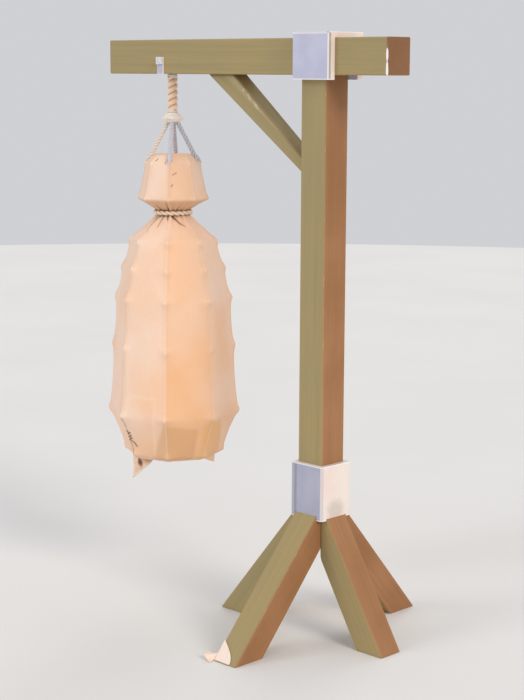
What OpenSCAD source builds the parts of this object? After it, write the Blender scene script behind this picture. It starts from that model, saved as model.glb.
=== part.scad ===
// Punching bag on a timber stand: a post on four splayed legs, a beam with a knee
// brace, and a stuffed canvas bag on a short rope with a swivel cap and four cords.
// Millimetres, +Z up, origin on the floor in the middle of the footprint, beam along X.

/* [Stand] */
// Side of the square post
post_w = 120; // [110:1:130]
// Height of the beam's underside above the floor
beam_z = 2079; // [2000:1:2200]
// Height of the beam's section
beam_h = 131; // [120:1:150]
// Width of the beam's section
beam_w = 121; // [116:1:130]
// Length of beam from the post's axis to the free end
beam_reach = 1111; // [1050:1:1200]
// Length of beam from the post's axis to the stub end
beam_stub = 341; // [250:1:350]
// Chamfer along the edges of post and beam
arris = 4; // [2:1:6]
// Side of each leg's square section
leg_w = 106; // [96:1:110]
// Height of the seat where the post stands on the legs' heads
leg_top = 500; // [480:1:520]
// Reach of the front and back feet from the post's axis
foot_side = 497; // [470:1:520]
// Reach of the foot under the arm of the beam
foot_arm = 478; // [450:1:490]
// Reach of the foot under the stub of the beam
foot_stub = 357; // [352:1:380]
// Width of the knee brace across the beam
brace_w = 75; // [60:1:90]

/* [Brackets] */
// Outside width of the square base collar
collar_w = 160; // [158:1:170]
// Lower edge of the base collar
collar_z0 = 460; // [450:1:470]
// Upper edge of the base collar
collar_z1 = 664; // [650:1:680]
// Outside width of the top saddle across the beam
saddle_w = 189; // [180:1:200]
// Saddle's overhang from the post's axis towards the arm
saddle_arm = 74; // [68:1:80]
// Saddle's overhang from the post's axis towards the stub
saddle_stub = 101; // [90:1:110]
// Thickness of the saddle's top plate
saddle_top = 20; // [16:1:24]

/* [Hanger] */
// Distance from the post's axis to the bag's axis
hang_x = 809; // [780:1:840]
// Radius of the hanger bolt
bolt_r = 8; // [7:1:9]
// Height of the hanger bolt above the beam's underside
bolt_rise = 51; // [48:1:56]
// Radius of the link's cross pin
pin_r = 6; // [5:1:7]
// Height of the cross pin above the beam's underside
pin_rise = 15; // [14:1:17]
// Width of the bearing plates on the beam
plate_w = 33; // [30:1:40]

/* [Rope and cap] */
// Mean radius of the rope
rope_r = 21; // [19:1:22]
// Widest radius of the swivel cap
cap_r = 45; // [42:1:48]
// Radius of each suspension cord
cord_r = 7.8; // [6:0.1:8]

/* [Bag] */
// Number of gores in the canvas
gores = 8; // [8:8:16]
// Turn of the first gore seam about the bag's axis
gore_turn = -50; // [-90:1:90]
// Thickness of the canvas, measured level
canvas_t = 5; // [4:1:6]
// Corner radius and height of each seam ring, from the hem up to the rim
bag_rings = [
    [172, 564], [197, 580], [263, 745], [245, 1012], [233, 1205], [206, 1323],
    [174, 1431], [66, 1532], [66, 1547], [139, 1593], [106, 1736], [78, 1767]
];

/* [Hidden] */
$fn = 48;

// Play of a turning fit, and the easy fit of a screw in its hole
run_fit = 0.05;
easy_fit = 0.2;
// The post's axis, so that the footprint is centred on the origin
post_x = (beam_reach - max(beam_stub, foot_stub)) / 2;
bag_x = post_x - hang_x;
beam_top = beam_z + beam_h;
bolt_z = beam_z + bolt_rise;
pin_z = beam_z + pin_rise;

// Post tenon and its pegs
tenon_x = 50;
tenon_y = 40;
tenon_h = 70;
peg_r = 8;
peg_x = 13;
peg_rise = 35;
// Saddle: inside faces bear on the beam, and the cheeks are cored out between ribs
saddle_z0 = beam_z - 16;
rib = 12;
core_h = 54;
core_pitch = 66;
core_rise = 8;
// Lag screws: shank radius, head across flats over 2 and head height
lag_r = 5;
lag_head_r = 9;
lag_head_h = 7;
saddle_screw_x = [-45, 72];
saddle_screw_rise = [32, 98];
collar_screw_z = [590, 635];
leg_lag_r = 6;
leg_lag_q = 36;
leg_lag_top = 572;
washer_r = 13;
washer_t = 2.5;
// Knee brace: where its faces meet the beam, and how far they fall per mm of run
brace_low = 565;
brace_high = 432;
brace_low_fall = 0.7125;
brace_high_fall = 0.829;
brace_screw_y = 18;
brace_screw_x = 500;
brace_screw_z = 1745;
brace_seat_z = beam_z - brace_low_fall * (brace_low - brace_screw_x) + 14;
brace_seat_x = post_x - brace_low + (beam_z - brace_screw_z) / brace_low_fall + 12;
// Slot in the beam that the swing link hangs in, with a flared mouth
slot_x = 54;
slot_y = 32;
slot_top = bolt_z + 22;
flare = 12;
plate_t = 5;
plate_h = 65;
toe = 15;
bolt_head = 28;
bolt_head_t = 9;
nut_t = 13;
nut_r = 13.9;
bolt_washer_t = 3;
spacer_r = 13;
// Swing link
link_y = 10;
link_eye_r = 16;
tab_t = 7.5;
fork_x = 15.75;
fork_r = 12;
fork_play = 0.25;
pin_left = 23;
pin_head_r = 9;
pin_head_t = 4;
split_x = 19.5;
split_r = 1.5;
split_h = 18;
// Rope: the socket's lower edge, and the end socket's and cap's heights
socket_z = beam_z - 17;
socket_r = 20;
cup_r = 17;
cup_h = 12;
rivet_r = 3;
end_z0 = 1909;
end_z1 = 1938;
end_r = 19;
flange_r = 28;
flange_t = 4;
cap_z0 = 1892.6;
cap_mid = 1906.4;
cap_z1 = 1930;
cap_floor_t = 6.4;
cap_foot_r = 28;
cap_lip_r = 24;
bush_r = 22;
cavity_r = 30;
ceiling_z = 1915.5;
lay = 25;
// Suspension cords, from the cap's floor to the eyelets on the bag's shoulder
cord_q0 = 18;
cord_q1 = 91;
cord_z1 = 1752;
cord_run = cord_q1 - cord_q0;
cord_drop = cap_z0 - cord_z1;
cord_tilt = atan2(cord_run, cord_drop);
knot_r = 10;
knot_h = 8;
eyelet_r = 12;
// Clearance round a leg in the collar, depth of screw holes, run of the bore under a leg's seat
socket_fit = 0.2;
screw_hole = 60;
seat_bore = 200;
// Bag: hem, rim, hoop in the rim, tie round the neck, fillings and corner ears
hem_z = bag_rings[0][1];
rim_z = bag_rings[len(bag_rings) - 1][1];
neck_z = 1539.5;
panel_t = 4;
filling_gap = 8;
hoop_r = 58;
hoop_wire_r = 4;
hoop_z = rim_z - 12;
tie_r = 71.5;
tie_wire_r = 4.4;
tie_z = [1535, 1544];
body_fill_top = 1516;
head_fill_z = [1560, 1718];
ear_r = [130, 150];
ear_turn = [-102, 17.5];
darn_z = 645;
darn_pitch = 14;
darn_shift = 62;
// Soft wrap on the front foot
wrap_t = 3;
wrap_z0 = 6;
wrap_h = 67;
tail_t = 8;
tail_y = -478;
tail_turn = 228;

// Level radius of the bag's corners at a height
function bag_r(z) = lookup(z, [for (p = bag_rings) [p[1], p[0]]]);
// Fall of a leg's outer face: level run per mm of height
function leg_slope(foot) = (foot - post_w / 2) / leg_top;
// Level width of a leg, measured along its run
function leg_run(foot) = leg_w * sqrt(1 + pow(leg_slope(foot), 2));
// Height of the seat for a leg's screw, above its sloping inner face
function leg_seat(foot) =
    (foot - leg_run(foot) - leg_lag_q + washer_r + 1) / leg_slope(foot) + 6;

module at_post() { translate([post_x, 0, 0]) children(); }
module at_bag() { translate([bag_x, 0, 0]) children(); }
// Turns a shape drawn along Z so that it runs along X, or along Y
module along_x() { rotate([90, 0, 90]) children(); }
module along_y() { rotate([-90, 0, 0]) children(); }

module wood() { color([0.62, 0.53, 0.38]) children(); }
module pale_iron() { color([0.77, 0.77, 0.83]) children(); }
module steel() { color([0.55, 0.56, 0.58]) children(); }
module canvas() { color([0.95, 0.78, 0.65]) children(); }
module cream() { color([0.91, 0.84, 0.77]) children(); }

// Square section with chamfered corners, centred
module section(w, d) {
    x = w / 2;
    y = d / 2;
    polygon([
        [x - arris, -y], [x, -y + arris], [x, y - arris], [x - arris, y],
        [-x + arris, y], [-x, y - arris], [-x, -y + arris], [-x + arris, -y]
    ]);
}

// Screw with its head below z = 0 and its shank up to a point
module lag_screw(shank_r, length) {
    tip = 2 * shank_r;
    translate([0, 0, -lag_head_h]) cylinder(r = lag_head_r, h = lag_head_h, $fn = 6);
    cylinder(r = shank_r, h = length - tip);
    translate([0, 0, length - tip]) cylinder(r1 = shank_r, r2 = 0.5, h = tip);
}

module post_screw_holes() {
    at_post() {
        for (a = [0:90:270])
            rotate([0, 0, a]) translate([leg_lag_q, 0, leg_top - 1])
                cylinder(r = leg_lag_r + easy_fit, h = leg_lag_top - leg_top + 2);
        collar_screw_places() cylinder(r = lag_r + easy_fit, h = 72);
    }
    brace_foot_places() cylinder(r = lag_r + easy_fit, h = 81);
}

module post() {
    wood() difference() {
        at_post() union() {
            translate([0, 0, leg_top])
                linear_extrude(beam_z - leg_top) section(post_w, post_w);
            translate([-tenon_x / 2, -tenon_y / 2, beam_z - 1])
                cube([tenon_x, tenon_y, tenon_h + 1]);
        }
        post_screw_holes();
        peg_places() cylinder(r = peg_r, h = beam_w);
    }
}

module peg_places() {
    for (s = [-1, 1])
        translate([post_x + s * peg_x, -beam_w / 2, beam_z + peg_rise])
            along_y() children();
}

module tenon_pegs() {
    wood() peg_places() cylinder(r = peg_r - run_fit, h = beam_w);
}

// Flared slot: straight walls with a rounded mouth at the beam's underside
module hanger_slot() {
    at_bag() translate([0, 0, beam_z]) {
        translate([-slot_x, -slot_y, -1]) cube([2 * slot_x, 2 * slot_y, slot_top - beam_z + 1]);
        difference() {
            translate([-slot_x - flare, -slot_y - flare, -1])
                cube([2 * (slot_x + flare), 2 * (slot_y + flare), flare + 1]);
            for (s = [-1, 1]) {
                translate([s * (slot_x + flare), -beam_w, flare])
                    along_y() cylinder(r = flare, h = 2 * beam_w);
                translate([-2 * slot_x, s * (slot_y + flare), flare])
                    rotate([0, 90, 0]) cylinder(r = flare, h = 4 * slot_x);
            }
        }
    }
}

module beam() {
    wood() difference() {
        translate([post_x - beam_reach, 0, beam_z + beam_h / 2])
            along_x() linear_extrude(beam_reach + beam_stub) section(beam_w, beam_h);
        at_post() translate([-tenon_x / 2, -tenon_y / 2, beam_z - 1])
            cube([tenon_x, tenon_y, tenon_h + 2]);
        peg_places() translate([0, 0, -1]) cylinder(r = peg_r, h = beam_w + 2);
        hanger_slot();
        translate([bag_x, -beam_w, bolt_z])
            along_y() cylinder(r = bolt_r + easy_fit, h = 2 * beam_w);
        for (s = [-1, 1])
            translate([bag_x - plate_w / 2 - easy_fit, s * (beam_w - toe) / 2 - toe / 2 - 1, beam_z - 1])
                cube([plate_w + 2 * easy_fit, toe + 2, plate_t + 1]);
        saddle_screw_places() cylinder(r = lag_r + easy_fit, h = 92);
        brace_head_places() cylinder(r = lag_r + easy_fit, h = 92);
    }
}

module brace_head_places() {
    for (s = [-1, 1])
        translate([post_x - brace_screw_x, s * brace_screw_y, brace_seat_z])
            children();
}

module brace_foot_places() {
    for (s = [-1, 1])
        translate([brace_seat_x, s * brace_screw_y, brace_screw_z])
            along_x() children();
}

module brace() {
    face = post_w / 2;
    wood() difference() {
        at_post() rotate([90, 0, 0]) translate([0, 0, -brace_w / 2])
            linear_extrude(brace_w) polygon([
                [-brace_low, beam_z],
                [-face, beam_z - brace_low_fall * (brace_low - face)],
                [-face, beam_z - brace_high_fall * (brace_high - face)],
                [-brace_high, beam_z]
            ]);
        brace_head_places() {
            cylinder(r = lag_r + easy_fit, h = 92);
            translate([0, 0, -60]) cylinder(r = lag_head_r + 2, h = screw_hole);
        }
        brace_foot_places() {
            cylinder(r = lag_r + easy_fit, h = 81);
            translate([0, 0, -40]) cylinder(r = lag_head_r + 1, h = 40);
        }
    }
}

module brace_screws() {
    steel() {
        brace_head_places() lag_screw(lag_r, 90);
        brace_foot_places() lag_screw(lag_r, 78);
    }
}

module saddle_screw_places() {
    for (x = saddle_screw_x, z = saddle_screw_rise)
        translate([post_x + x, saddle_w / 2, beam_z + z])
            rotate([90, 0, 0]) children();
}

module saddle_screws() {
    steel() saddle_screw_places() lag_screw(lag_r, 88);
}

module top_saddle() {
    bevel = 8;
    length = saddle_arm + saddle_stub;
    w = saddle_w / 2;
    z1 = beam_top + saddle_top;
    bay = (length - 3 * rib) / 2;
    cheek = (saddle_w - beam_w) / 2;
    pale_iron() difference() {
        translate([post_x - saddle_arm, 0, 0]) along_x() linear_extrude(length)
            polygon([
                [-w, saddle_z0], [-beam_w / 2, saddle_z0], [-beam_w / 2, beam_top],
                [beam_w / 2, beam_top], [beam_w / 2, saddle_z0], [w, saddle_z0],
                [w, z1 - bevel], [w - bevel, z1], [-w + bevel, z1], [-w, z1 - bevel]
            ]);
        for (s = [-1, 1], n = [0, 1], high = [0, 1])
            translate([
                post_x - saddle_arm + rib + n * (bay + rib),
                s * (beam_w / 2 + (cheek - rib) / 2) - (cheek - rib) / 2,
                beam_z + core_rise + high * core_pitch
            ]) difference() {
                cube([bay, cheek - rib, core_h]);
                translate([bay / 2, -1, core_h / 2]) along_y() cylinder(r = rib, h = cheek);
            }
        saddle_screw_places() cylinder(r = lag_r + easy_fit, h = screw_hole);
        for (sx = [0, 1], sy = [-1, 1])
            translate([post_x - saddle_arm + sx * length, sy * w, saddle_z0 - 1])
                rotate([0, 0, 45]) translate([-3, -3, 0]) cube([6, 6, z1]);
    }
}

module collar_screw_places() {
    for (z = collar_screw_z) {
        translate([-collar_w / 2, 0, z]) along_x() children();
        translate([0, collar_w / 2, z]) rotate([90, 0, 0]) children();
    }
}

module collar_screws() {
    steel() at_post() collar_screw_places() lag_screw(lag_r, 68);
}

module base_collar() {
    bevel = 9;
    w = collar_w / 2;
    pale_iron() at_post() difference() {
        translate([0, 0, collar_z0]) linear_extrude(collar_z1 - collar_z0) polygon([
            [w - bevel, -w], [w, -w + bevel], [w, w - bevel], [w - bevel, w],
            [-w + bevel, w], [-w, w - bevel], [-w, -w + bevel], [-w + bevel, -w]
        ]);
        translate([-post_w / 2, -post_w / 2, leg_top]) cube([post_w, post_w, collar_z1]);
        each_leg() intersection() {
            leg_blank($foot, socket_fit);
            translate([0, -leg_w, 0]) cube([$foot, 2 * leg_w, leg_top]);
        }
        collar_screw_places() cylinder(r = lag_r + easy_fit, h = screw_hole);
    }
}

// Places its children once for each leg, turned outwards, with $foot as its reach
module each_leg() {
    feet = [[-90, foot_side], [90, foot_side], [180, foot_arm], [0, foot_stub]];
    for (f = feet) let ($foot = f[1]) rotate([0, 0, f[0]]) children();
}

// Sloping square timber, before its head is mitred
module leg_blank(foot, grow = 0) {
    m = leg_slope(foot);
    over = grow * sqrt(1 + m * m);
    rotate([90, 0, 0]) translate([0, 0, -leg_w / 2 - grow])
        linear_extrude(leg_w + 2 * grow) polygon([
            [foot + over, 0], [foot + over - m * leg_top, leg_top],
            [foot - leg_run(foot) - over - m * leg_top, leg_top],
            [foot - leg_run(foot) - over, 0]
        ]);
}

module leg(foot) {
    seat = leg_seat(foot);
    difference() {
        intersection() {
            leg_blank(foot);
            linear_extrude(leg_top) polygon([[0, 0], [foot, foot], [foot, -foot]]);
        }
        translate([leg_lag_q, 0, seat - 1])
            cylinder(r = leg_lag_r + easy_fit, h = leg_top);
        translate([leg_lag_q, 0, seat - seat_bore]) cylinder(r = washer_r + 1, h = seat_bore);
    }
}

module leg_front() { wood() at_post() rotate([0, 0, -90]) leg(foot_side); }
module leg_back() { wood() at_post() rotate([0, 0, 90]) leg(foot_side); }
module leg_arm_side() { wood() at_post() rotate([0, 0, 180]) leg(foot_arm); }
module leg_stub_side() { wood() at_post() leg(foot_stub); }

module leg_screws() {
    steel() at_post() each_leg() {
        z = leg_seat($foot) - washer_t;
        translate([leg_lag_q, 0, z]) lag_screw(leg_lag_r, leg_lag_top - z - 4);
    }
}

module leg_washers() {
    steel() at_post() each_leg() translate([leg_lag_q, 0, leg_seat($foot) - washer_t])
        difference() {
            cylinder(r = washer_r, h = washer_t);
            translate([0, 0, -1]) cylinder(r = leg_lag_r + easy_fit, h = washer_t + 2);
        }
}

// Bearing plate on one face of the beam, with a toe let into the underside
module hanger_plate(side) {
    y0 = beam_w / 2;
    pale_iron() difference() {
        translate([bag_x, 0, beam_z]) rotate([0, 0, side]) union() {
            translate([-plate_w / 2, y0, 0]) cube([plate_w, plate_t, plate_h]);
            translate([-plate_w / 2, y0 - toe, 0]) cube([plate_w, toe + 1, plate_t]);
        }
        translate([bag_x, -beam_w, bolt_z])
            along_y() cylinder(r = bolt_r + easy_fit, h = 2 * beam_w);
    }
}
module hanger_plate_front() { hanger_plate(180); }
module hanger_plate_back() { hanger_plate(0); }

module hanger_bolt() {
    face = beam_w / 2 + plate_t;
    half = bolt_head / 2;
    pale_iron() translate([bag_x, -face, bolt_z]) along_y() {
        translate([-half, -half, -bolt_head_t]) cube([bolt_head, bolt_head, bolt_head_t]);
        cylinder(r = bolt_r, h = 2 * face + bolt_washer_t + nut_t + 4);
    }
}

module hanger_washer() {
    steel() translate([bag_x, beam_w / 2 + plate_t, bolt_z]) along_y() difference() {
        cylinder(r = nut_r + 1, h = bolt_washer_t);
        translate([0, 0, -1]) cylinder(r = bolt_r + easy_fit, h = 5);
    }
}

module hanger_nut() {
    steel() translate([bag_x, beam_w / 2 + plate_t + bolt_washer_t, bolt_z]) along_y() difference() {
        cylinder(r = nut_r, h = nut_t, $fn = 6);
        translate([0, 0, -1]) cylinder(r = bolt_r + run_fit, h = nut_t + 2);
    }
}

module link_spacers() {
    length = slot_y - link_y - 3 * easy_fit;
    middle = (slot_y + link_y) / 2;
    steel() for (s = [-1, 1])
        translate([bag_x, s * middle - length / 2, bolt_z]) along_y() difference() {
            cylinder(r = spacer_r, h = length);
            translate([0, 0, -1]) cylinder(r = bolt_r + easy_fit, h = slot_y);
        }
}

// Link with an eye on the bolt and a fork, at right angles, for the rope's socket
module swing_link() {
    crotch = pin_z + fork_r + 1.5;
    arm_t = fork_x - tab_t - fork_play;
    pale_iron() at_bag() difference() {
        union() {
            translate([0, -link_y, bolt_z]) along_y() cylinder(r = link_eye_r, h = 2 * link_y);
            translate([-fork_x, -link_y, crotch]) cube([2 * fork_x, 2 * link_y, bolt_z - 6 - crotch]);
            for (x = [-fork_x, tab_t + fork_play]) {
                translate([x, 0, pin_z]) along_x() cylinder(r = fork_r, h = arm_t);
                translate([x, -link_y, pin_z]) cube([arm_t, 2 * link_y, crotch - pin_z + 1]);
            }
        }
        translate([0, -2 * link_y, bolt_z]) along_y() cylinder(r = bolt_r + run_fit, h = 4 * link_y);
        translate([-2 * fork_x, 0, pin_z]) along_x() cylinder(r = pin_r + run_fit, h = 4 * fork_x);
    }
}

module link_pin() {
    steel() translate([bag_x, 0, pin_z]) difference() {
        union() {
            translate([-pin_left, 0, 0]) along_x() cylinder(r = pin_r, h = pin_left + fork_x + 1);
            translate([fork_x + easy_fit, 0, 0]) along_x() cylinder(r = pin_head_r, h = pin_head_t);
        }
        translate([-split_x, 0, -split_h]) cylinder(r = split_r + 0.1, h = 2 * split_h);
    }
}

module split_pin() {
    steel() translate([bag_x - split_x, 0, pin_z - split_h / 2]) {
        cylinder(r = split_r, h = split_h);
        translate([0, 0, split_h]) sphere(r = 2 * split_r);
    }
}

// Socket that grips the rope's top and hangs by its tab from the link's pin
module rope_socket() {
    shoulder = 4;
    shoulder_r = 14.5;
    top_z = pin_z - 14;
    cream() difference() {
        at_bag() union() {
            translate([-tab_t, 0, pin_z]) along_x() cylinder(r = fork_r, h = 2 * tab_t);
            intersection() {
                translate([-tab_t, -fork_r, top_z - 1]) cube([2 * tab_t, 2 * fork_r, 15]);
                translate([0, 0, top_z - 1]) cylinder(r = fork_r + 3, h = 15);
            }
            translate([0, 0, socket_z]) cylinder(r = socket_r, h = top_z - socket_z - shoulder);
            translate([0, 0, top_z - shoulder])
                cylinder(r1 = socket_r, r2 = shoulder_r, h = shoulder);
        }
        translate([bag_x - 20, 0, pin_z]) along_x() cylinder(r = pin_r + run_fit, h = 40);
        at_bag() translate([0, 0, socket_z - 1]) cylinder(r = cup_r, h = cup_h + 1);
        socket_rivet_holes();
    }
}

module rivet_places() {
    for (z = [socket_z + 6, end_z1 - 9]) translate([bag_x, 0, z]) along_y() children();
}

// Laid rope: its strands bulge once every quarter of their lay
module rope() {
    top_z = socket_z + cup_h;
    low_z = end_z0 + flange_t + 1;
    step = 2.5;
    wave = 2;
    core_r = end_r - 4;
    bulges = [for (z = [end_z1 + 2:step:socket_z - 2]) [
        rope_r + wave * cos(360 * (z - end_z1 - lay / 2) / lay), z
    ]];
    color([0.86, 0.66, 0.49]) difference() {
        at_bag() rotate_extrude() polygon(concat(
            [[0, low_z], [core_r, low_z], [core_r, end_z1]], bulges,
            [[cup_r - run_fit, socket_z], [cup_r - run_fit, top_z], [0, top_z]]
        ));
        socket_rivet_holes();
    }
}

module socket_rivet_holes() {
    rivet_places() translate([0, 0, -30]) cylinder(r = rivet_r, h = screw_hole);
}

module socket_rivets() {
    steel() {
        translate([bag_x, -socket_r - 1, socket_z + 6])
            along_y() cylinder(r = rivet_r - run_fit, h = 2 * socket_r + 2);
        translate([bag_x, -end_r + 0.5, end_z1 - 9])
            along_y() cylinder(r = rivet_r - run_fit, h = 2 * end_r - 1);
    }
}

// Socket on the rope's lower end; its flange carries the cap
module rope_end_socket() {
    cream() difference() {
        at_bag() union() {
            translate([0, 0, end_z0]) cylinder(r = end_r, h = end_z1 - end_z0);
            translate([0, 0, end_z0]) cylinder(r = flange_r, h = flange_t);
        }
        at_bag() translate([0, 0, end_z0 + flange_t]) cylinder(r = end_r - 4 + run_fit, h = screw_hole);
        socket_rivet_holes();
    }
}

module swivel_bush() {
    color([0.80, 0.62, 0.35]) at_bag() translate([0, 0, ceiling_z]) difference() {
        cylinder(r = bush_r, h = cap_z1 - ceiling_z + 1.5);
        translate([0, 0, -1]) cylinder(r = end_r + run_fit, h = 40);
    }
}

module thrust_washer() {
    color([0.80, 0.62, 0.35]) at_bag() translate([0, 0, end_z0 + flange_t + 0.1])
        difference() {
            cylinder(r = flange_r, h = ceiling_z - end_z0 - flange_t - 0.1);
            translate([0, 0, -1]) cylinder(r = end_r + 0.4, h = 10);
        }
}

module cap_top() {
    cream() at_bag() difference() {
        translate([0, 0, cap_mid])
            cylinder(r1 = cap_r, r2 = cap_lip_r, h = cap_z1 - cap_mid);
        translate([0, 0, cap_mid - 1]) cylinder(r = bush_r, h = 40);
        translate([0, 0, cap_mid - 1]) cylinder(r = cavity_r, h = ceiling_z - cap_mid + 1);
        translate([0, 0, cap_mid - 1]) cylinder(r = cavity_r + 5, h = 4);
    }
}

module cap_base() {
    cream() at_bag() difference() {
        union() {
            translate([0, 0, cap_z0])
                cylinder(r1 = cap_foot_r, r2 = cap_r, h = cap_mid - cap_z0);
            translate([0, 0, cap_mid - 1]) cylinder(r = cavity_r + 5 - run_fit, h = 3.9);
        }
        translate([0, 0, cap_z0 + cap_floor_t]) cylinder(r = cavity_r, h = 40);
        cord_places() translate([0, 0, -40]) cylinder(r = cord_r + easy_fit, h = screw_hole);
    }
}

// Axis of each cord: its origin is where the cord leaves the cap's floor
module cord_places() {
    for (n = [0:3])
        rotate([0, 0, gore_turn + 90 * n]) translate([cord_q0, 0, cap_z0])
            rotate([0, 180 - cord_tilt, 0]) children();
}

module suspension_cords() {
    length = norm([cord_run, cord_drop]);
    floor_t = cap_floor_t / cos(cord_tilt);
    inner_q = cord_q0 - cap_floor_t * tan(cord_tilt);
    color([0.70, 0.70, 0.73]) at_bag() {
        cord_places() translate([0, 0, -floor_t + 4])
            cylinder(r = cord_r, h = length + floor_t - 4 + 10);
        for (n = [0:3]) rotate([0, 0, gore_turn + 90 * n])
            translate([inner_q + 1.5, 0, cap_z0 + cap_floor_t])
                cylinder(r = knot_r, h = knot_h);
        intersection() {
            cord_places() translate([0, 0, -20]) cylinder(r = cord_r, h = 30);
            translate([0, 0, cap_z0 - 2]) cylinder(r = 60, h = cap_floor_t + 4);
        }
    }
}

module cord_eyelets() {
    length = norm([cord_run, cord_drop]);
    color([0.80, 0.62, 0.35]) at_bag() cord_places() translate([0, 0, length - 3]) difference() {
        cylinder(r = eyelet_r - run_fit, h = 12);
        translate([0, 0, -1]) cylinder(r = cord_r + easy_fit, h = 20);
    }
}

module rim_hoop() {
    steel() at_bag() translate([0, 0, hoop_z]) rotate_extrude()
        translate([hoop_r, 0]) circle(r = hoop_wire_r);
}

// Closed solid through octagonal rings, each given as [corner radius, height]
module gored(rings) {
    last = len(rings) - 1;
    corners = [for (p = rings, i = [0:gores - 1])
        let (a = gore_turn + i * 360 / gores) [p[0] * cos(a), p[0] * sin(a), p[1]]];
    polyhedron(corners, concat(
        [[for (i = [0:gores - 1]) i]],
        [[for (i = [gores - 1:-1:0]) last * gores + i]],
        [for (j = [0:last - 1], i = [0:gores - 1])
            let (k = (i + 1) % gores)
            [j * gores + i, (j + 1) * gores + i, (j + 1) * gores + k, j * gores + k]]
    ));
}

// The bag's rings between two heights, drawn in by a level distance
function rings_between(z0, z1, inset) = concat(
    [[bag_r(z0) - inset, z0]],
    [for (p = bag_rings) if (p[1] > z0 && p[1] < z1) [p[0] - inset, p[1]]],
    [[bag_r(z1) - inset, z1]]
);

// Canvas between two heights, open at both
module bag_shell(z0, z1) {
    low = bag_r(z0) - canvas_t;
    high = bag_r(z1) - canvas_t;
    difference() {
        gored(rings_between(z0, z1, 0));
        gored(concat([[low, z0 - 1]], rings_between(z0, z1, canvas_t), [[high, z1 + 1]]));
    }
}

module bag_canvas() { canvas() at_bag() bag_shell(hem_z, neck_z); }

// Smaller sack above the tie, with holes for the cords and their eyelets
module head_canvas() {
    length = norm([cord_run, cord_drop]);
    canvas() at_bag() difference() {
        bag_shell(neck_z, rim_z);
        cord_places() translate([0, 0, length - 40]) cylinder(r = eyelet_r, h = 58);
    }
}

// Flat panels sewn into the bag's two ends
module bag_lid() { canvas() at_bag() gored(rings_between(rim_z - panel_t, rim_z, canvas_t)); }
module bag_base() { canvas() at_bag() gored(rings_between(hem_z, hem_z + panel_t, canvas_t)); }

module head_filling() {
    color([0.72, 0.62, 0.42]) at_bag() gored(rings_between(head_fill_z[0], head_fill_z[1], canvas_t + filling_gap));
}

module body_filling() {
    inset = canvas_t + filling_gap;
    color([0.72, 0.62, 0.42]) at_bag()
        gored(rings_between(hem_z + panel_t + 1, body_fill_top, inset));
}

// Two turns of cord that gather the canvas into a neck
module neck_tie() {
    canvas() at_bag() for (z = tie_z)
        translate([0, 0, z]) rotate_extrude() translate([tie_r, 0]) circle(r = tie_wire_r);
}

// Corner of the sacking left hanging from the hem, turned about the bag's axis
module corner_ear(turn, reach, outline) {
    canvas() at_bag() rotate([0, 0, turn]) translate([reach, 0, hem_z])
        rotate([90, 0, 90]) linear_extrude(canvas_t) polygon(outline);
}
module corner_ear_large() {
    corner_ear(ear_turn[0], ear_r[0], [[-99, 0], [-95, -111], [52, -13], [62, 0]]);
}
module corner_ear_small() {
    corner_ear(ear_turn[1], ear_r[1], [[-37, 0], [55, -35], [63, 0]]);
}

// Darning across a split low on the bag
module repair_stitches() {
    out = bag_r(darn_z) * cos(180 / gores);
    lean = atan2(bag_r(darn_z + 50) - bag_r(darn_z), 50);
    color([0.24, 0.15, 0.09]) at_bag() rotate([0, 0, gore_turn - 180 / gores])
        translate([out, 0, darn_z]) rotate([0, lean, 0]) for (n = [0:3])
            translate([2, -12 - darn_shift, darn_pitch * n]) rotate([75, 0, 0])
                translate([0, 0, -22]) cylinder(r = 1.4, h = 20);
}

// Scrap of canvas stuck round the outer corner of the front foot
module foot_wrap() {
    m = leg_slope(foot_side);
    cream() at_post() rotate([0, 0, -90]) intersection() {
        difference() {
            leg_blank(foot_side, wrap_t);
            leg_blank(foot_side, 0.1);
        }
        translate([foot_side - 90, 0, 0]) along_x() linear_extrude(100) polygon([
            [-leg_w / 2 - wrap_t - 1, wrap_z0], [31, wrap_z0], [19, 16], [2, 30],
            [-26, 60], [-leg_w / 2 + 4, wrap_h], [-leg_w / 2 - wrap_t - 1, wrap_h]
        ]);
    }
}

// Curled end of the scrap, standing out towards the arm side
module foot_wrap_tail() {
    cream() at_post() translate([-leg_w / 2 - 8, tail_y, 0]) rotate([0, 0, tail_turn])
        rotate([90, 0, 0]) translate([0, 0, -tail_t / 2]) linear_extrude(tail_t) polygon([
            [0, 27], [18, 26], [38, 36], [47, 30], [50, 20], [44, 11],
            [28, 2], [14, 12], [9, 6], [0, 8]
        ]);
}

post();
beam();
brace();
top_saddle();
saddle_screws();
tenon_pegs();
base_collar();
collar_screws();
leg_front();
leg_back();
leg_arm_side();
leg_stub_side();
leg_screws();
leg_washers();
brace_screws();
hanger_plate_front();
hanger_plate_back();
hanger_bolt();
hanger_nut();
hanger_washer();
link_spacers();
swing_link();
link_pin();
split_pin();
rope_socket();
rope();
rope_end_socket();
socket_rivets();
swivel_bush();
thrust_washer();
cap_top();
cap_base();
suspension_cords();
cord_eyelets();
rim_hoop();
bag_canvas();
head_canvas();
bag_lid();
bag_base();
head_filling();
body_filling();
neck_tie();
corner_ear_large();
corner_ear_small();
repair_stitches();
foot_wrap();
foot_wrap_tail();
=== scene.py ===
"""Punching bag on a timber stand: finishes, canvas, rope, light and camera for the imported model."""
import math

import bmesh
import bpy
from bpy.props import FloatProperty, FloatVectorProperty, IntProperty, PointerProperty
from mathutils import Matrix, Vector, noise
from mathutils.bvhtree import BVHTree


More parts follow.
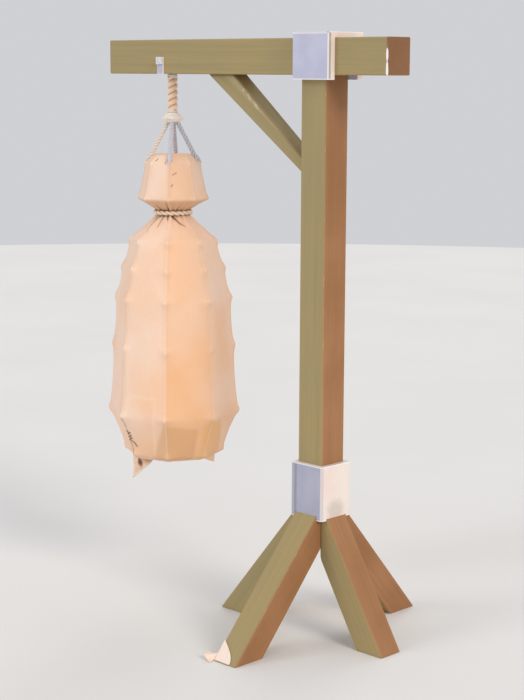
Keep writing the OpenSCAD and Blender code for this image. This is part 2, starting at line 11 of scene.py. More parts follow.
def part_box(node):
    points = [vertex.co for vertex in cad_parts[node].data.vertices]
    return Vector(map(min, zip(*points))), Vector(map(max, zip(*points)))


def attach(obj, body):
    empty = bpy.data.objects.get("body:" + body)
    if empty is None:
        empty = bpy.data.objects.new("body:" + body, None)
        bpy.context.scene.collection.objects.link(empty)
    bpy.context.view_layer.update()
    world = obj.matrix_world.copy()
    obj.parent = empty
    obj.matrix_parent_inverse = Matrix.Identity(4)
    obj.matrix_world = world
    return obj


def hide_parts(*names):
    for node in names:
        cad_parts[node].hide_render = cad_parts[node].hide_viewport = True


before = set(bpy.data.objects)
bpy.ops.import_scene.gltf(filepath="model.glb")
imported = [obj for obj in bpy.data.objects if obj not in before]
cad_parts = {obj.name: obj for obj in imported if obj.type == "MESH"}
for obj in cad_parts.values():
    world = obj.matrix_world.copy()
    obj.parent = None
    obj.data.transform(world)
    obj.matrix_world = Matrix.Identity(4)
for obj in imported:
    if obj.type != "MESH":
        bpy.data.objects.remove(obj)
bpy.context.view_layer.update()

bl_info = {
    "name": "Punching Bag on Stand",
    "version": (1, 0, 0),
    "blender": (4, 5, 0),
    "location": "View3D > Sidebar > Punching Bag",
    "description": "Timber stand, iron brackets, laid rope and a stuffed canvas bag",
    "category": "Object",
}

TAU = 2 * math.pi


def centre_of(node):
    low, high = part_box(node)
    return (low + high) / 2


def half_of(node):
    low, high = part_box(node)
    return (high - low) / 2


# The bag hangs on this axis, and its canvas is cut in gores from one seam to the next
BAG_AXIS = Vector((centre_of("cap_base").x, centre_of("cap_base").y, 0))
GORES = 8
GORE_TURN = math.radians(-50)
# The side of the bag that the camera sees, as an angle about its axis
FRONT = math.radians(-42.3)
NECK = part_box("head_canvas")[0].z
# Corner radius and height of each ring of seam corners, hem to neck and neck to rim
BODY_RINGS = (
    (0.172, 0.564), (0.197, 0.580), (0.263, 0.745), (0.245, 1.012), (0.233, 1.205),
    (0.206, 1.323), (0.174, 1.431), (0.066, 1.532), (0.066, NECK),
)
HEAD_RINGS = ((0.066, NECK), (0.066, 1.547), (0.139, 1.593), (0.106, 1.736), (0.078, 1.767))
HEM = BODY_RINGS[0][1]
SEAM_TURNS = [GORE_TURN + n * TAU / GORES for n in range(GORES)]
CORD_TURNS = [GORE_TURN + n * TAU / 4 for n in range(4)]
# Marks on the canvas, each stored as a number for every point
MARKS = ("tone", "brown", "ochre", "pale", "stain")


def compass(turn):
    """The level direction at an angle."""
    return Vector((math.cos(turn), math.sin(turn), 0))


def about(turn, radius, height):
    """A point at an angle about the bag's axis."""
    return BAG_AXIS + compass(turn) * radius + Vector((0, 0, height))


def clamped(value, low=0.0, high=1.0):
    return max(low, min(high, value))


def hump(value, width):
    """1 at zero, falling off to both sides over a width."""
    return math.exp(-((value / width) ** 2))


# ---------------------------------------------------------------- settings


def length(name, text, default, low=0.0, high=1.0):
    """A size in metres that the sidebar shows."""
    return FloatProperty(
        name=name, description=text, default=default, min=low, max=high, unit="LENGTH"
    )


def colour(name, text, default):
    """A colour, linear, that the sidebar shows."""
    return FloatVectorProperty(
        name=name, description=text, default=default, size=3, subtype="COLOR", min=0, max=1
    )


class TimberLooks(bpy.types.PropertyGroup):
    # Olive and brown are painted light on one finish: olive on faces turned to the cool light, brown on
    # faces turned to the warm light.
    olive: colour("Olive", "Stain on faces turned to the cool side", (0.375, 0.295, 0.132))
    brown: colour("Brown", "Stain on faces turned to the warm side", (0.3, 0.134, 0.046))
    bare: colour("Bare wood", "Wood that shows on worn arrises", (0.66, 0.55, 0.38))
    wear: length("Wear", "Width of the worn band on an arris", 0.0032, 0, 0.02)
    round_over: length("Round-over", "Rounding of the legs' and brace's arrises", 0.0035, 0, 0.01)


class IronLooks(bpy.types.PropertyGroup):
    # Cool and warm paint are painted light on one paint: cool on faces turned away from the warm light,
    # warm on faces turned to it.
    cool: colour("Cool paint", "Paint on faces turned to the cool side", (0.46, 0.46, 0.6))
    warm: colour("Warm paint", "Paint on faces turned to the warm side", (0.84, 0.76, 0.69))
    edge: colour("Edge", "Chalky paint along the edges", (0.93, 0.9, 0.88))
    wear: length("Wear", "Width of the chalky band on an edge", 0.005, 0, 0.02)


class RopeLooks(bpy.types.PropertyGroup):
    strands: IntProperty(name="Strands", description="Strands in the rope", default=2, min=2, max=6)
    strand: length("Strand", "Radius of one strand", 0.0102, 0.002, 0.02)
    lay_radius: length("Lay radius", "Radius that the strands lie on", 0.0104, 0.002, 0.03)
    lay: length("Lay", "Length in which a strand goes round once", 0.05, 0.02, 0.3)
    # Fibre is painted as shade in the rope's grooves, and the crown colour as a highlight on its crowns.
    fibre: colour("Fibre", "Colour of the rope in its grooves", (0.8, 0.43, 0.23))
    crown_highlight: colour("Crown", "Colour of the rope on its crowns", (0.97, 0.79, 0.6))
    cord: colour("Cord", "Colour of the suspension cords", (0.7, 0.685, 0.74))
    cord_strand: length("Cord strand", "Radius of a cord's strand", 0.0044, 0.001, 0.01)


class BagLooks(bpy.types.PropertyGroup):
    pink: colour("Pink", "Palest canvas", (0.93, 0.68, 0.53))
    orange: colour("Orange", "Warmest canvas", (0.9, 0.51, 0.275))
    # Brown is also painted as shade under the head, in the neck's pleats and under the ear's hem; the
    # darkest colour is painted shade in creases and the ear's hole; pale is also painted as a highlight
    # along the seams.
    brown: colour("Brown", "Handled canvas low on the bag", (0.68, 0.38, 0.185))
    ochre: colour("Ochre", "Yellowed canvas", (0.88, 0.485, 0.2))
    stain: colour("Stain", "Deep creases and tears", (0.13, 0.055, 0.022))
    pale: colour("Pale", "Worn edges and hems", (0.95, 0.84, 0.7))
    grid: length("Grid", "Length of one square of the cloth's grid", 0.0095, 0.004, 0.03)
    peak: length("Peak", "Height of the points where seams are drawn in", 0.009, 0, 0.02)
    sag: length("Sag", "How far a seam falls in between two points", 0.007, 0, 0.02)
    puff: length("Puff", "Most that the filling may push a gore out", 0.008, 0, 0.03)
    gather: length("Gather", "Depth of the pleats at the neck", 0.0045, 0, 0.02)


class StageLooks(bpy.types.PropertyGroup):
    floor: colour("Floor", "Colour of the floor", (0.78, 0.77, 0.75))
    radius: length("Radius", "Radius of the floor", 14.0, 2, 50)
    lens: FloatProperty(name="Lens", description="Focal length, in millimetres", default=85.13)
    key: FloatProperty(name="Key", description="Strength of the warm light", default=1.4)
    fill: FloatProperty(name="Fill", description="Strength of the cool light", default=0.7)
    sky: FloatProperty(name="Sky", description="Strength of the surrounding light", default=0.66)


# ---------------------------------------------------------------- node trees


class Graph:
    """Adds nodes to one tree, and joins them."""

    def __init__(self, tree):
        self.tree = tree

    def add(self, kind, inputs=None, **settings):
        """A node with its settings, and with values or links on its inputs."""
        node = self.tree.nodes.new(kind)
        for key, value in settings.items():
            setattr(node, key, value)
        for key, value in (inputs or {}).items():
            self.set(node.inputs[key], value)
        return node

    def set(self, socket, value):
        """Links a socket, or gives it a value."""
        if isinstance(value, bpy.types.NodeSocket):
            self.tree.links.new(value, socket)
        else:
            socket.default_value = value

    def calc(self, operation, *values, clamp=False):
        """One Math node's value."""
        settings = {"operation": operation, "use_clamp": clamp}
        return self.add("ShaderNodeMath", dict(enumerate(values)), **settings).outputs[0]

    def times(self, *values):
        return self.calc("MULTIPLY", *values)

    def plus(self, *values, clamp=False):
        return self.calc("ADD", *values, clamp=clamp)

    def less(self, *values):
        return self.calc("SUBTRACT", *values)

    def vector(self, operation, *values):
        """One Vector Math node."""
        return self.add("ShaderNodeVectorMath", dict(enumerate(values)), operation=operation).outputs[0]

    def scaled(self, vector, factor):
        return self.add("ShaderNodeVectorMath", {0: vector, "Scale": factor}, operation="SCALE").outputs[0]

    def size_of(self, vector):
        return self.add("ShaderNodeVectorMath", {0: vector}, operation="LENGTH").outputs["Value"]

    def parts(self, vector):
        return self.add("ShaderNodeSeparateXYZ", {"Vector": vector}).outputs

    def joined(self, **parts):
        return self.add("ShaderNodeCombineXYZ", parts).outputs[0]

    def place(self):
        return self.add("ShaderNodeTexCoord").outputs["Object"]

    def way(self):
        return self.add("ShaderNodeUVMap", uv_map="UVMap").outputs["UV"]

    def attribute(self, name, output="Fac"):
        return self.add("ShaderNodeAttribute", attribute_name=name).outputs[output]

    def spread(self, value, low, high, to_low=0.0, to_high=1.0, smooth=False):
        """A value carried from one range to another, and kept in it."""
        kind = "SMOOTHSTEP" if smooth else "LINEAR"
        numbers = dict(enumerate((value, low, high, to_low, to_high)))
        return self.add("ShaderNodeMapRange", numbers, interpolation_type=kind, clamp=True).outputs[0]

    def mix(self, factor, first, second):
        """Two colours mixed."""
        values = {0: factor, 6: solid(first), 7: solid(second)}
        return self.add("ShaderNodeMix", values, data_type="RGBA", clamp_factor=True).outputs[2]

    def over(self, base, tint, share, amount):
        """A tint laid over a colour, where a share says, and by no more than an amount."""
        return self.mix(self.times(share, amount), base, tint)

    def noise(self, vector, scale, detail=3.0, roughness=0.5):
        """Noise about 0.5, over a vector in metres."""
        inputs = {"Vector": vector, "Scale": scale, "Detail": detail, "Roughness": roughness}
        return self.add("ShaderNodeTexNoise", inputs).outputs["Fac"]

    def group(self, name, **inputs):
        """A shared shader group, with its own values."""
        node = self.add("ShaderNodeGroup", node_tree=bpy.data.node_groups[name])
        for key, value in inputs.items():
            self.set(node.inputs[key.replace("_", " ")], value)
        return node.outputs


def solid(value):
    """A colour of three numbers with its alpha."""
    plain = not isinstance(value, bpy.types.NodeSocket)
    return (*value, 1.0) if plain and len(value) == 3 else value


def shader_group(name, inputs, *outputs):
    """An empty shader group: its graph, and its input and output sockets."""
    tree = bpy.data.node_groups.new(name, "ShaderNodeTree")
    for label, default in inputs.items():
        kind = "NodeSocketVector" if isinstance(default, tuple) else "NodeSocketFloat"
        tree.interface.new_socket(label, in_out="INPUT", socket_type=kind).default_value = default
    for label in outputs:
        tree.interface.new_socket(label, in_out="OUTPUT", socket_type="NodeSocketFloat")
    graph = Graph(tree)
    return graph, graph.add("NodeGroupInput").outputs, graph.add("NodeGroupOutput").inputs


def make_timber_grain():
    """Long streaks along Z, broad patches and fine pores."""
    g, given, out = shader_group(
        "Timber Grain", {"Vector": (0, 0, 0), "Seed": 0.0}, "Streak", "Patch", "Height")
    moved = g.vector("ADD", given["Vector"], g.joined(X=given["Seed"], Z=given["Seed"]))
    swirl = {"Vector": g.vector("MULTIPLY", moved, (4, 4, 1.2)), "Scale": 1.0, "Detail": 2.0}
    bend = g.vector("MULTIPLY", g.add("ShaderNodeTexNoise", swirl).outputs["Color"], (0.02, 0.02, 0.0))
    bent = g.vector("ADD", moved, bend)
    long_streak = g.noise(g.vector("MULTIPLY", bent, (70, 70, 1.6)), 1.0, 4.0, 0.6)
    pores = g.noise(g.vector("MULTIPLY", bent, (420, 420, 9)), 1.0, 2.0)
    g.set(out["Streak"], g.spread(long_streak, 0.32, 0.7))
    g.set(out["Patch"], g.spread(g.noise(moved, 3.2, 3.0), 0.35, 0.66, smooth=True))
    g.set(out["Height"], g.plus(g.times(long_streak, 0.6), g.times(pores, 0.4)))


def make_edge_wear():
    """Worn bands along the edges of a boxy piece, broken up by noise."""
    inputs = {"Vector": (0, 0, 0), "Half Size": (0.1, 0.1, 0.1), "Width": 0.004, "Gaps": 0.5, "Least": 0.15}
    g, given, out = shader_group("Edge Wear", inputs, "Wear", "Near")
    width = given["Width"]
    gap = g.parts(g.vector("SUBTRACT", given["Half Size"], g.vector("ABSOLUTE", given["Vector"])))
    low = g.calc("MINIMUM", gap[0], gap[1])
    high = g.calc("MAXIMUM", gap[0], gap[1])
    edge = g.calc("MAXIMUM", low, g.calc("MINIMUM", high, gap[2]))
    chips = g.spread(g.noise(given["Vector"], 30, 5.0, 0.65), given["Gaps"], g.plus(given["Gaps"], 0.07))
    band = g.less(1.0, g.spread(edge, g.times(width, 0.4), width))
    g.set(out["Wear"], g.times(band, g.calc("MAXIMUM", chips, given["Least"])))
    g.set(out["Near"], g.less(1.0, g.spread(edge, 0.0, g.times(width, 8.0), smooth=True)))


def make_painted_side_light():
    """Painted light by which way a face is turned: how far it faces the warm light at +X and +Y rather than
    the cool light at -Y, and how far it faces up.
    """
    g, _, out = shader_group("Turned Side", {}, "Warm", "Up")
    normal = g.parts(g.add("ShaderNodeNewGeometry").outputs["Normal"])
    warm = g.plus(0.42, g.plus(g.times(normal[0], 0.6), g.times(normal[1], 0.42)))
    g.set(out["Warm"], g.spread(warm, 0.05, 0.95))
    g.set(out["Up"], g.spread(normal[2], 0.2, 0.9))


def make_soft_spot():
    """A soft spot about a point: for painted shade and shadow, and for scrapes."""
    inputs = {"Vector": (0, 0, 0), "Centre": (0, 0, 0), "Reach": (0.1, 0.1, 0.1)}
    g, given, out = shader_group("Soft Spot", inputs, "Spot")
    away = g.vector("SUBTRACT", given["Vector"], given["Centre"])
    ratio = g.size_of(g.vector("DIVIDE", away, given["Reach"]))
    ragged = g.plus(ratio, g.times(g.less(g.noise(given["Vector"], 45, 3.0), 0.5), 0.5))
    g.set(out["Spot"], g.less(1.0, g.spread(ragged, 0.35, 1.0, smooth=True)))


def make_weave():
    """Plain weave: threads over and under each other, for a vector in metres."""
    g, given, out = shader_group("Weave", {"Vector": (0, 0, 0), "Pitch": 0.0022}, "Height", "Shade")
    turns = g.parts(g.scaled(given["Vector"], g.calc("DIVIDE", math.pi, given["Pitch"])))
    over = g.times(g.calc("SINE", turns[0]), g.calc("SINE", turns[1]))
    slubs = g.plus(*(g.noise(g.vector("MULTIPLY", given["Vector"], way), 1.0, 2.0)
                     for way in ((30, 500, 1), (500, 30, 1))))
    g.set(out["Height"], g.plus(g.times(over, 0.35), slubs))
    g.set(out["Shade"], g.spread(slubs, 0.75, 1.25))


def make_yarn():
    """Twisted yarns on a strand, for a vector with its way round and its length, in metres."""
    g, given, out = shader_group("Yarn", {"Vector": (0, 0, 0), "Pitch": 0.004}, "Height", "Shade")
    parts = g.parts(given["Vector"])
    wave = g.calc("SINE", g.times(g.less(parts[1], parts[0]), g.calc("DIVIDE", TAU, given["Pitch"])))
    hair = g.noise(g.vector("MULTIPLY", given["Vector"], (900, 300, 1)), 1.0, 3.0)
    g.set(out["Height"], g.plus(g.times(wave, 0.5), hair))
    g.set(out["Shade"], g.plus(g.times(wave, 0.22), g.spread(hair, 0.3, 0.7), clamp=True))


def material(name):
    """A material: its graph, its Principled node, and the material itself."""
    made = bpy.data.materials.new(name)
    made.use_nodes = True
    return Graph(made.node_tree), made.node_tree.nodes["Principled BSDF"], made


def finish(graph, shader, base, rough, height, depth, strength):
    """Joins a base colour, a roughness and a bump to a Principled node."""
    graph.set(shader.inputs["Base Color"], base)
    graph.set(shader.inputs["Roughness"], rough)
    bump = graph.add("ShaderNodeBump", {"Height": height, "Distance": depth, "Strength": strength})
    graph.set(shader.inputs["Normal"], bump.outputs["Normal"])


def local_vector(graph, centre, turn=(0, 0, 0)):
    """Object coordinates seen from a piece's own middle and turn."""
    inputs = {"Vector": graph.place(), "Location": centre, "Rotation": turn}
    return graph.add("ShaderNodeMapping", inputs, vector_type="TEXTURE").outputs[0]


def timber(name, half, seed, centre=None, turn=(0, 0, 0), scraped=(), brown=1.0):
    """Stained softwood, grained along the piece's own Z, painted olive on faces turned to the cool light
    and brown on faces turned to the warm light. Without a centre, it reads "grain".
    """
    looks = bpy.context.scene.timber_looks
    g, shader, made = material(name)
    own = g.attribute("grain", "Vector") if centre is None else local_vector(g, centre, turn)
    grain = g.group("Timber Grain", Vector=own, Seed=seed)
    # Painted light: faces turned to the warm light take brown, golden and dark tints, and faces turned to
    # the cool light take olive ones; brown scales this shift.
    warm = g.times(g.group("Turned Side")["Warm"], brown)
    wear = g.group("Edge Wear", Vector=own, Half_Size=half, Width=looks.wear, Gaps=0.54, Least=0.22)
    golden = g.mix(warm, (0.42, 0.3, 0.12), (0.43, 0.205, 0.085))
    dark = g.mix(warm, (0.26, 0.21, 0.11), (0.25, 0.115, 0.055))
    base = g.over(g.mix(warm, looks.olive, looks.brown), golden, grain["Patch"], 0.6)
    base = g.over(base, dark, grain["Streak"], 0.34)
    base = g.over(base, golden, wear["Near"], 0.2)
    base = g.over(base, looks.bare, wear["Wear"], 0.7)
    end = g.calc("GREATER_THAN", g.parts(g.vector("ABSOLUTE", own))[2], half[2] - 0.003)
    base = g.over(base, (0.19, 0.085, 0.035), end, 0.7)
    for spot_centre, reach in scraped:
        spot = g.group("Soft Spot", Vector=g.place(), Centre=spot_centre, Reach=reach)
        base = g.mix(g.spread(spot["Spot"], 0.1, 0.4), base, (0.92, 0.88, 0.84))
    finish(g, shader, base, g.spread(grain["Streak"], 0, 1, 0.62, 0.8), grain["Height"], 0.0012, 0.35)
    return made


def painted_iron(name, node, shadow_spots=(), bands=(), edge=None, shade=1.0):
    """Chalky painted iron, pale along its edges: one paint, painted cool as shade on faces turned one way,
    warm as light on faces turned the other, and paler on top as a painted highlight.
    """
    looks = bpy.context.scene.iron_looks
    g, shader, made = material(name)
    own = local_vector(g, centre_of(node))
    side = g.group("Turned Side")
    wear = g.group("Edge Wear", Vector=own, Half_Size=half_of(node), Width=edge or looks.wear,
                   Gaps=0.3, Least=0.6)
    cloud = g.spread(g.noise(own, 9, 3.0), 0.35, 0.65, smooth=True)
    # Painted shade: the cool side's colour, made darker or lighter on each piece by shade.
    first, second = ([shade * c for c in paint] for paint in (looks.cool, (0.53, 0.55, 0.65)))
    cool = g.over(first, second, cloud, 0.6)
    warm = g.mix(cloud, looks.warm, (0.85, 0.69, 0.63))
    base = g.mix(side["Warm"], cool, warm)
    # Painted light: faces turned up are painted paler.
    base = g.over(base, (0.8, 0.74, 0.7), side["Up"], 0.7)
    # Painted shade: dark bands along a bevel or corner, and painted shadow spots low on a face.
    for spots, tint, amount in ((bands, (0.25, 0.26, 0.28), 0.7), (shadow_spots, (0.4, 0.37, 0.32), 0.42)):
        for centre, reach in spots:
            spot = g.group("Soft Spot", Vector=g.place(), Centre=centre, Reach=reach)
            base = g.over(base, tint, spot["Spot"], amount)
    speck = g.calc("GREATER_THAN", g.noise(own, 160, 2.0), 0.71)
    base = g.over(base, (0.42, 0.36, 0.33), speck, 0.35)
    base = g.over(base, looks.edge, wear["Wear"], 0.85)
    rough = g.spread(g.noise(own, 30, 3.0), 0.3, 0.7, 0.42, 0.62)
    finish(g, shader, base, rough, g.noise(own, 55, 4.0), 0.0009, 0.3)
    return made


def metal(name, base, dark, metallic, rough, scale=60):
    """Bare or cream-painted metal with tarnish in patches."""
    g, shader, made = material(name)
    tarnish = g.spread(g.noise(g.place(), scale, 4.0, 0.6), 0.42, 0.68, smooth=True)
    shader.inputs["Metallic"].default_value = metallic
    height = g.noise(g.place(), 3 * scale, 3.0)
    finish(g, shader, g.over(base, dark, tarnish, 0.55), g.spread(tarnish, 0, 1, rough, rough + 0.2),
           height, 0.0004, 0.3)
    return made


def strand_fibre(name, groove, crown_highlight, pitch, reach=None):
    """Twisted fibre, painted darker as shade in its grooves and paler as a highlight on its crowns; with a
    reach from the bag's axis, this follows the distance from that axis.
    """
    g, shader, made = material(name)
    yarn = g.group("Yarn", Vector=g.way(), Pitch=pitch)
    crown_light = yarn["Shade"]
    if reach:
        out = g.size_of(g.vector("MULTIPLY", local_vector(g, BAG_AXIS), (1, 1, 0)))
        crown_light = g.times(g.spread(out, *reach), g.spread(crown_light, 0, 1, 0.65, 1))
    shader.inputs["Sheen Weight"].default_value = 0.15
    finish(g, shader, g.mix(crown_light, groove, crown_highlight), 0.85, yarn["Height"], 0.0008, 0.6)
    return made


def canvas(name, tint=None):
    """Handled canvas: woven, mottled and darker where it is worn, with painted shade in its creases, its
    neck pleats and under the head, and a painted highlight along its seams.
    """
    looks = bpy.context.scene.bag_looks
    g, shader, made = material(name)
    weave = g.group("Weave", Vector=g.way(), Pitch=0.0024)
    cloud = g.spread(g.noise(g.place(), 4.5, 3.0), 0.32, 0.68, smooth=True)
    tone = g.plus(g.attribute("tone"), g.times(g.less(cloud, 0.5), 0.45), clamp=True)
    base = g.mix(tone, tint or looks.pink, looks.pink if tint else looks.orange)
    base = g.over(base, looks.ochre, g.attribute("ochre"), 0.8)
    base = g.over(base, looks.brown, g.attribute("brown"), 0.75)
    base = g.over(base, looks.pale, g.attribute("pale"), 0.7)
    dust = g.spread(g.noise(g.place(), 60, 4.0, 0.65), 0.55, 0.8)
    base = g.over(base, looks.brown, dust, 0.12)
    base = g.over(base, looks.brown, weave["Shade"], 0.07)
    # The darkest colour is painted shade in creases, pleats and the large ear's hole, with a few real
    # marks.
    base = g.mix(g.attribute("stain"), base, looks.stain)
    shader.inputs["Sheen Weight"].default_value = 0.12
    shader.inputs["Sheen Roughness"].default_value = 0.6
    crumple = g.noise(g.vector("MULTIPLY", g.place(), (1.0, 1.0, 0.55)), 17, 3.0, 0.55)
    finish(g, shader, base, 0.9, g.calc("MULTIPLY_ADD", crumple, 7.0, weave["Height"]), 0.0007, 0.5)
    return made


def thread(name, tone):
    """Waxed thread."""
    g, shader, made = material(name)
    fuzz = g.noise(g.place(), 900, 2.0)
    base = g.mix(g.spread(fuzz, 0.3, 0.7, 0, 0.4), tone, tuple(0.5 * c for c in tone))
    finish(g, shader, base, 0.8, fuzz, 0.0003, 0.5)
    return made


# ---------------------------------------------------------------- geometry trees


def geometry_tree(name, **sockets):
    """An empty geometry tree: its graph, its inputs, and its output node."""
    tree = bpy.data.node_groups.new(name, "GeometryNodeTree")
    tree.interface.new_socket("Geometry", in_out="INPUT", socket_type="NodeSocketGeometry")
    for label, kind in sockets.items():
        label = label.replace("_", " ")
        tree.interface.new_socket(label, in_out="INPUT", socket_type="NodeSocket" + kind)
    tree.interface.new_socket("Geometry", in_out="OUTPUT", socket_type="NodeSocketGeometry")
    graph = Graph(tree)
    return graph, graph.add("NodeGroupInput").outputs, graph.add("NodeGroupOutput")


def end_tree(g, out, geometry, look):
    """Ends a tree in real geometry with its material."""
    real = g.add("GeometryNodeRealizeInstances", {"Geometry": geometry}).outputs[0]
    painted = g.add("GeometryNodeSetMaterial", {"Geometry": real, "Material": look}).outputs[0]
    g.set(out.inputs["Geometry"], painted)


def captured(g, geometry, **fields):
    """A Capture Attribute node that keeps a field for each name."""
    node = g.add("GeometryNodeCaptureAttribute", {"Geometry": geometry}, domain="POINT")
    for name, value in fields.items():
        node.capture_items.new("VECTOR" if value.type == "VECTOR" else "FLOAT", name)
        g.set(node.inputs[name], value)
    return node.outputs


def make_laid_strands():
    """Strands laid round a curve, drawn in at both ends, with their length and way round as UVMap."""
    g, given, out = geometry_tree(
        "Laid Strands", Strands="Int", Strand_Radius="Float", Lay_Radius="Float", Lay="Float",
        Step="Float", Sides="Int", Grip_Start="Float", Grip_End="Float", Start_Share="Float",
        End_Share="Float", Material="Material")
    even = g.add("GeometryNodeResampleCurve", {"Curve": given["Geometry"], "Length": given["Step"]},
                 mode="LENGTH")
    copies = g.add("GeometryNodeDuplicateElements",
                   {"Geometry": even.outputs[0], "Amount": given["Strands"]}, domain="SPLINE").outputs
    along = g.add("GeometryNodeSplineParameter").outputs["Length"]
    total = g.add("GeometryNodeSplineLength").outputs["Length"]
    start = g.spread(along, 0.0, given["Grip Start"], given["Start Share"], 1.0)
    end = g.spread(g.less(total, along), 0.0, given["Grip End"], given["End Share"], 1.0)
    share = g.calc("MINIMUM", start, end)
    part = g.calc("DIVIDE", copies["Duplicate Index"], given["Strands"])
    turn = g.times(TAU, g.plus(g.calc("DIVIDE", along, given["Lay"]), part))
    normal = g.add("GeometryNodeInputNormal").outputs[0]
    side = g.vector("CROSS_PRODUCT", g.add("GeometryNodeInputTangent").outputs[0], normal)
    reach = g.times(given["Lay Radius"], share)
    offset = g.vector("ADD", g.scaled(normal, g.times(reach, g.calc("COSINE", turn))),
                      g.scaled(side, g.times(reach, g.calc("SINE", turn))))
    kept = captured(g, copies["Geometry"], Along=along, Offset=offset, Share=share)
    moved = g.add("GeometryNodeSetPosition", {"Geometry": kept["Geometry"], "Offset": kept["Offset"]})
    sized = g.add("GeometryNodeSetCurveRadius", {"Curve": moved.outputs[0], "Radius": kept["Share"]})
    ring = g.add("GeometryNodeCurvePrimitiveCircle",
                 {"Resolution": given["Sides"], "Radius": given["Strand Radius"]})
    rounded = captured(g, ring.outputs["Curve"],
                       Round=g.add("GeometryNodeSplineParameter").outputs["Length"])
    swept = g.add("GeometryNodeCurveToMesh", {
        "Curve": sized.outputs[0], "Profile Curve": rounded["Geometry"], "Fill Caps": True,
    })
    marked = g.add("GeometryNodeStoreNamedAttribute", {
        "Geometry": swept.outputs[0], "Name": "UVMap",
        "Value": g.joined(X=rounded["Round"], Y=kept["Along"]),
    }, data_type="FLOAT2", domain="CORNER")
    end_tree(g, out, marked.outputs[0], given["Material"])


def make_running_stitches():
    """Short rounded stitches in line along curves."""
    g, given, out = geometry_tree("Running Stitches", Pitch="Float", Stitch_Length="Float",
                                  Thread_Radius="Float", Material="Material")
    radius = given["Thread Radius"]
    spots = g.add("GeometryNodeCurveToPoints", {"Curve": given["Geometry"], "Length": given["Pitch"]},
                  mode="LENGTH").outputs
    bead = g.add("GeometryNodeMeshUVSphere", {"Segments": 6, "Rings": 4, "Radius": 1.0})
    placed = g.add("GeometryNodeInstanceOnPoints", {
        "Points": spots["Points"], "Instance": bead.outputs["Mesh"], "Rotation": spots["Rotation"],
        "Scale": g.joined(X=radius, Y=radius, Z=g.times(given["Stitch Length"], 0.5)),
    })
    end_tree(g, out, placed.outputs[0], given["Material"])


def curve_object(name, lines, cyclic=False):
    """A curve with one straight-sided spline through each list of points."""
    data = bpy.data.curves.new(name, "CURVE")
    data.dimensions = "3D"
    for line in lines:
        spline = data.splines.new("POLY")
        spline.points.add(len(line) - 1)
        for point, place in zip(spline.points, line):
            point.co = (*place, 1)
        spline.use_cyclic_u = cyclic
    made = bpy.data.objects.new(name, data)
    bpy.context.scene.collection.objects.link(made)
    return made


def mesh_object(name, data):
    made = bpy.data.objects.new(name, data)
    bpy.context.scene.collection.objects.link(made)
    return made


def plain_mesh(source, name):
    """The evaluated mesh of an object, as a new mesh."""
    graph = bpy.context.evaluated_depsgraph_get()
    made = bpy.data.meshes.new_from_object(
        source.evaluated_get(graph), preserve_all_data_layers=True, depsgraph=graph
    )
    made.name = name
    return made


def grow(name, lines, tree_name, cyclic=False, **inputs):
    """Runs a geometry tree over curves, and keeps the result as a plain mesh object."""
    source = curve_object(name + "_line", lines, cyclic)
    tree = bpy.data.node_groups[tree_name]
    modifier = source.modifiers.new(tree_name, "NODES")
    modifier.node_group = tree
    for item in tree.interface.items_tree:
        key = item.name.replace(" ", "_")
        if item.in_out == "INPUT" and key in inputs:
            modifier[item.identifier] = inputs[key]
    source.update_tag()
    bpy.context.view_layer.update()
    made = mesh_object(name, plain_mesh(source, name))
    bpy.data.objects.remove(source)
    smooth(made)
    return made


def laid(name, lines, look, strand, strands=1, lay_radius=0.0, lay=1.0, cyclic=False, step=0.004,
         sides=12, grips=(0.0001, 0.0001), shares=(1.0, 1.0)):
    """Strands laid round curves. A grip is the length in which an end swells from its share."""
    return grow(
        name, lines, "Laid Strands", cyclic, Strands=strands, Strand_Radius=strand,
        Lay_Radius=lay_radius, Lay=lay, Step=step, Sides=sides, Grip_Start=grips[0],
        Grip_End=grips[1], Start_Share=shares[0], End_Share=shares[1], Material=look,
    )


def smooth(made):
    for face in made.data.polygons:
        face.use_smooth = True


def only_material(made, look):
    made.data.materials.clear()
    made.data.materials.append(look)


def ride_for(made, body, slot, *nodes):
    """The last step of every piece: its body and the solids it stands for. Its slot is not used."""
    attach(made, body)
    if nodes:
        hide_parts(*nodes)
    return made


# ---------------------------------------------------------------- timber and iron


def eased_copy(node, upright, round_over):
    """A copy of a CAD timber with its long arrises rounded, and its own frame as "grain"."""
    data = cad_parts[node].data.copy()
    made = mesh_object(node + "_timber", data)
    work = bmesh.new()
    work.from_mesh(data)
    bmesh.ops.remove_doubles(work, verts=work.verts, dist=1e-5)
    bmesh.ops.dissolve_limit(work, angle_limit=math.radians(1), verts=work.verts, edges=work.edges)
    long = [e for e in work.edges if e.calc_length() > 0.09 and e.is_manifold
            and e.calc_face_angle() > math.radians(25)]
    bmesh.ops.bevel(work, geom=long, offset=round_over, segments=3, affect="EDGES", clamp_overlap=True)
    bmesh.ops.triangulate(work, faces=work.faces)
    work.to_mesh(data)
    work.free()
    inverse = upright.inverted()
    grain = data.attributes.new("grain", "FLOAT_VECTOR", "POINT")
    for vertex, value in zip(data.vertices, grain.data):
        value.vector = inverse @ vertex.co
    data.update()
    return made


def along(direction, side, origin):
    """A frame whose Z runs along a direction and whose X is near a side."""
    z = Vector(direction).normalized()
    x = (Vector(side) - z * z.dot(Vector(side))).normalized()
    turn = Matrix((x, z.cross(x), z)).transposed()
    return Matrix.Translation(origin) @ turn.to_4x4()


BRACE_HALF_DEPTH = 0.051


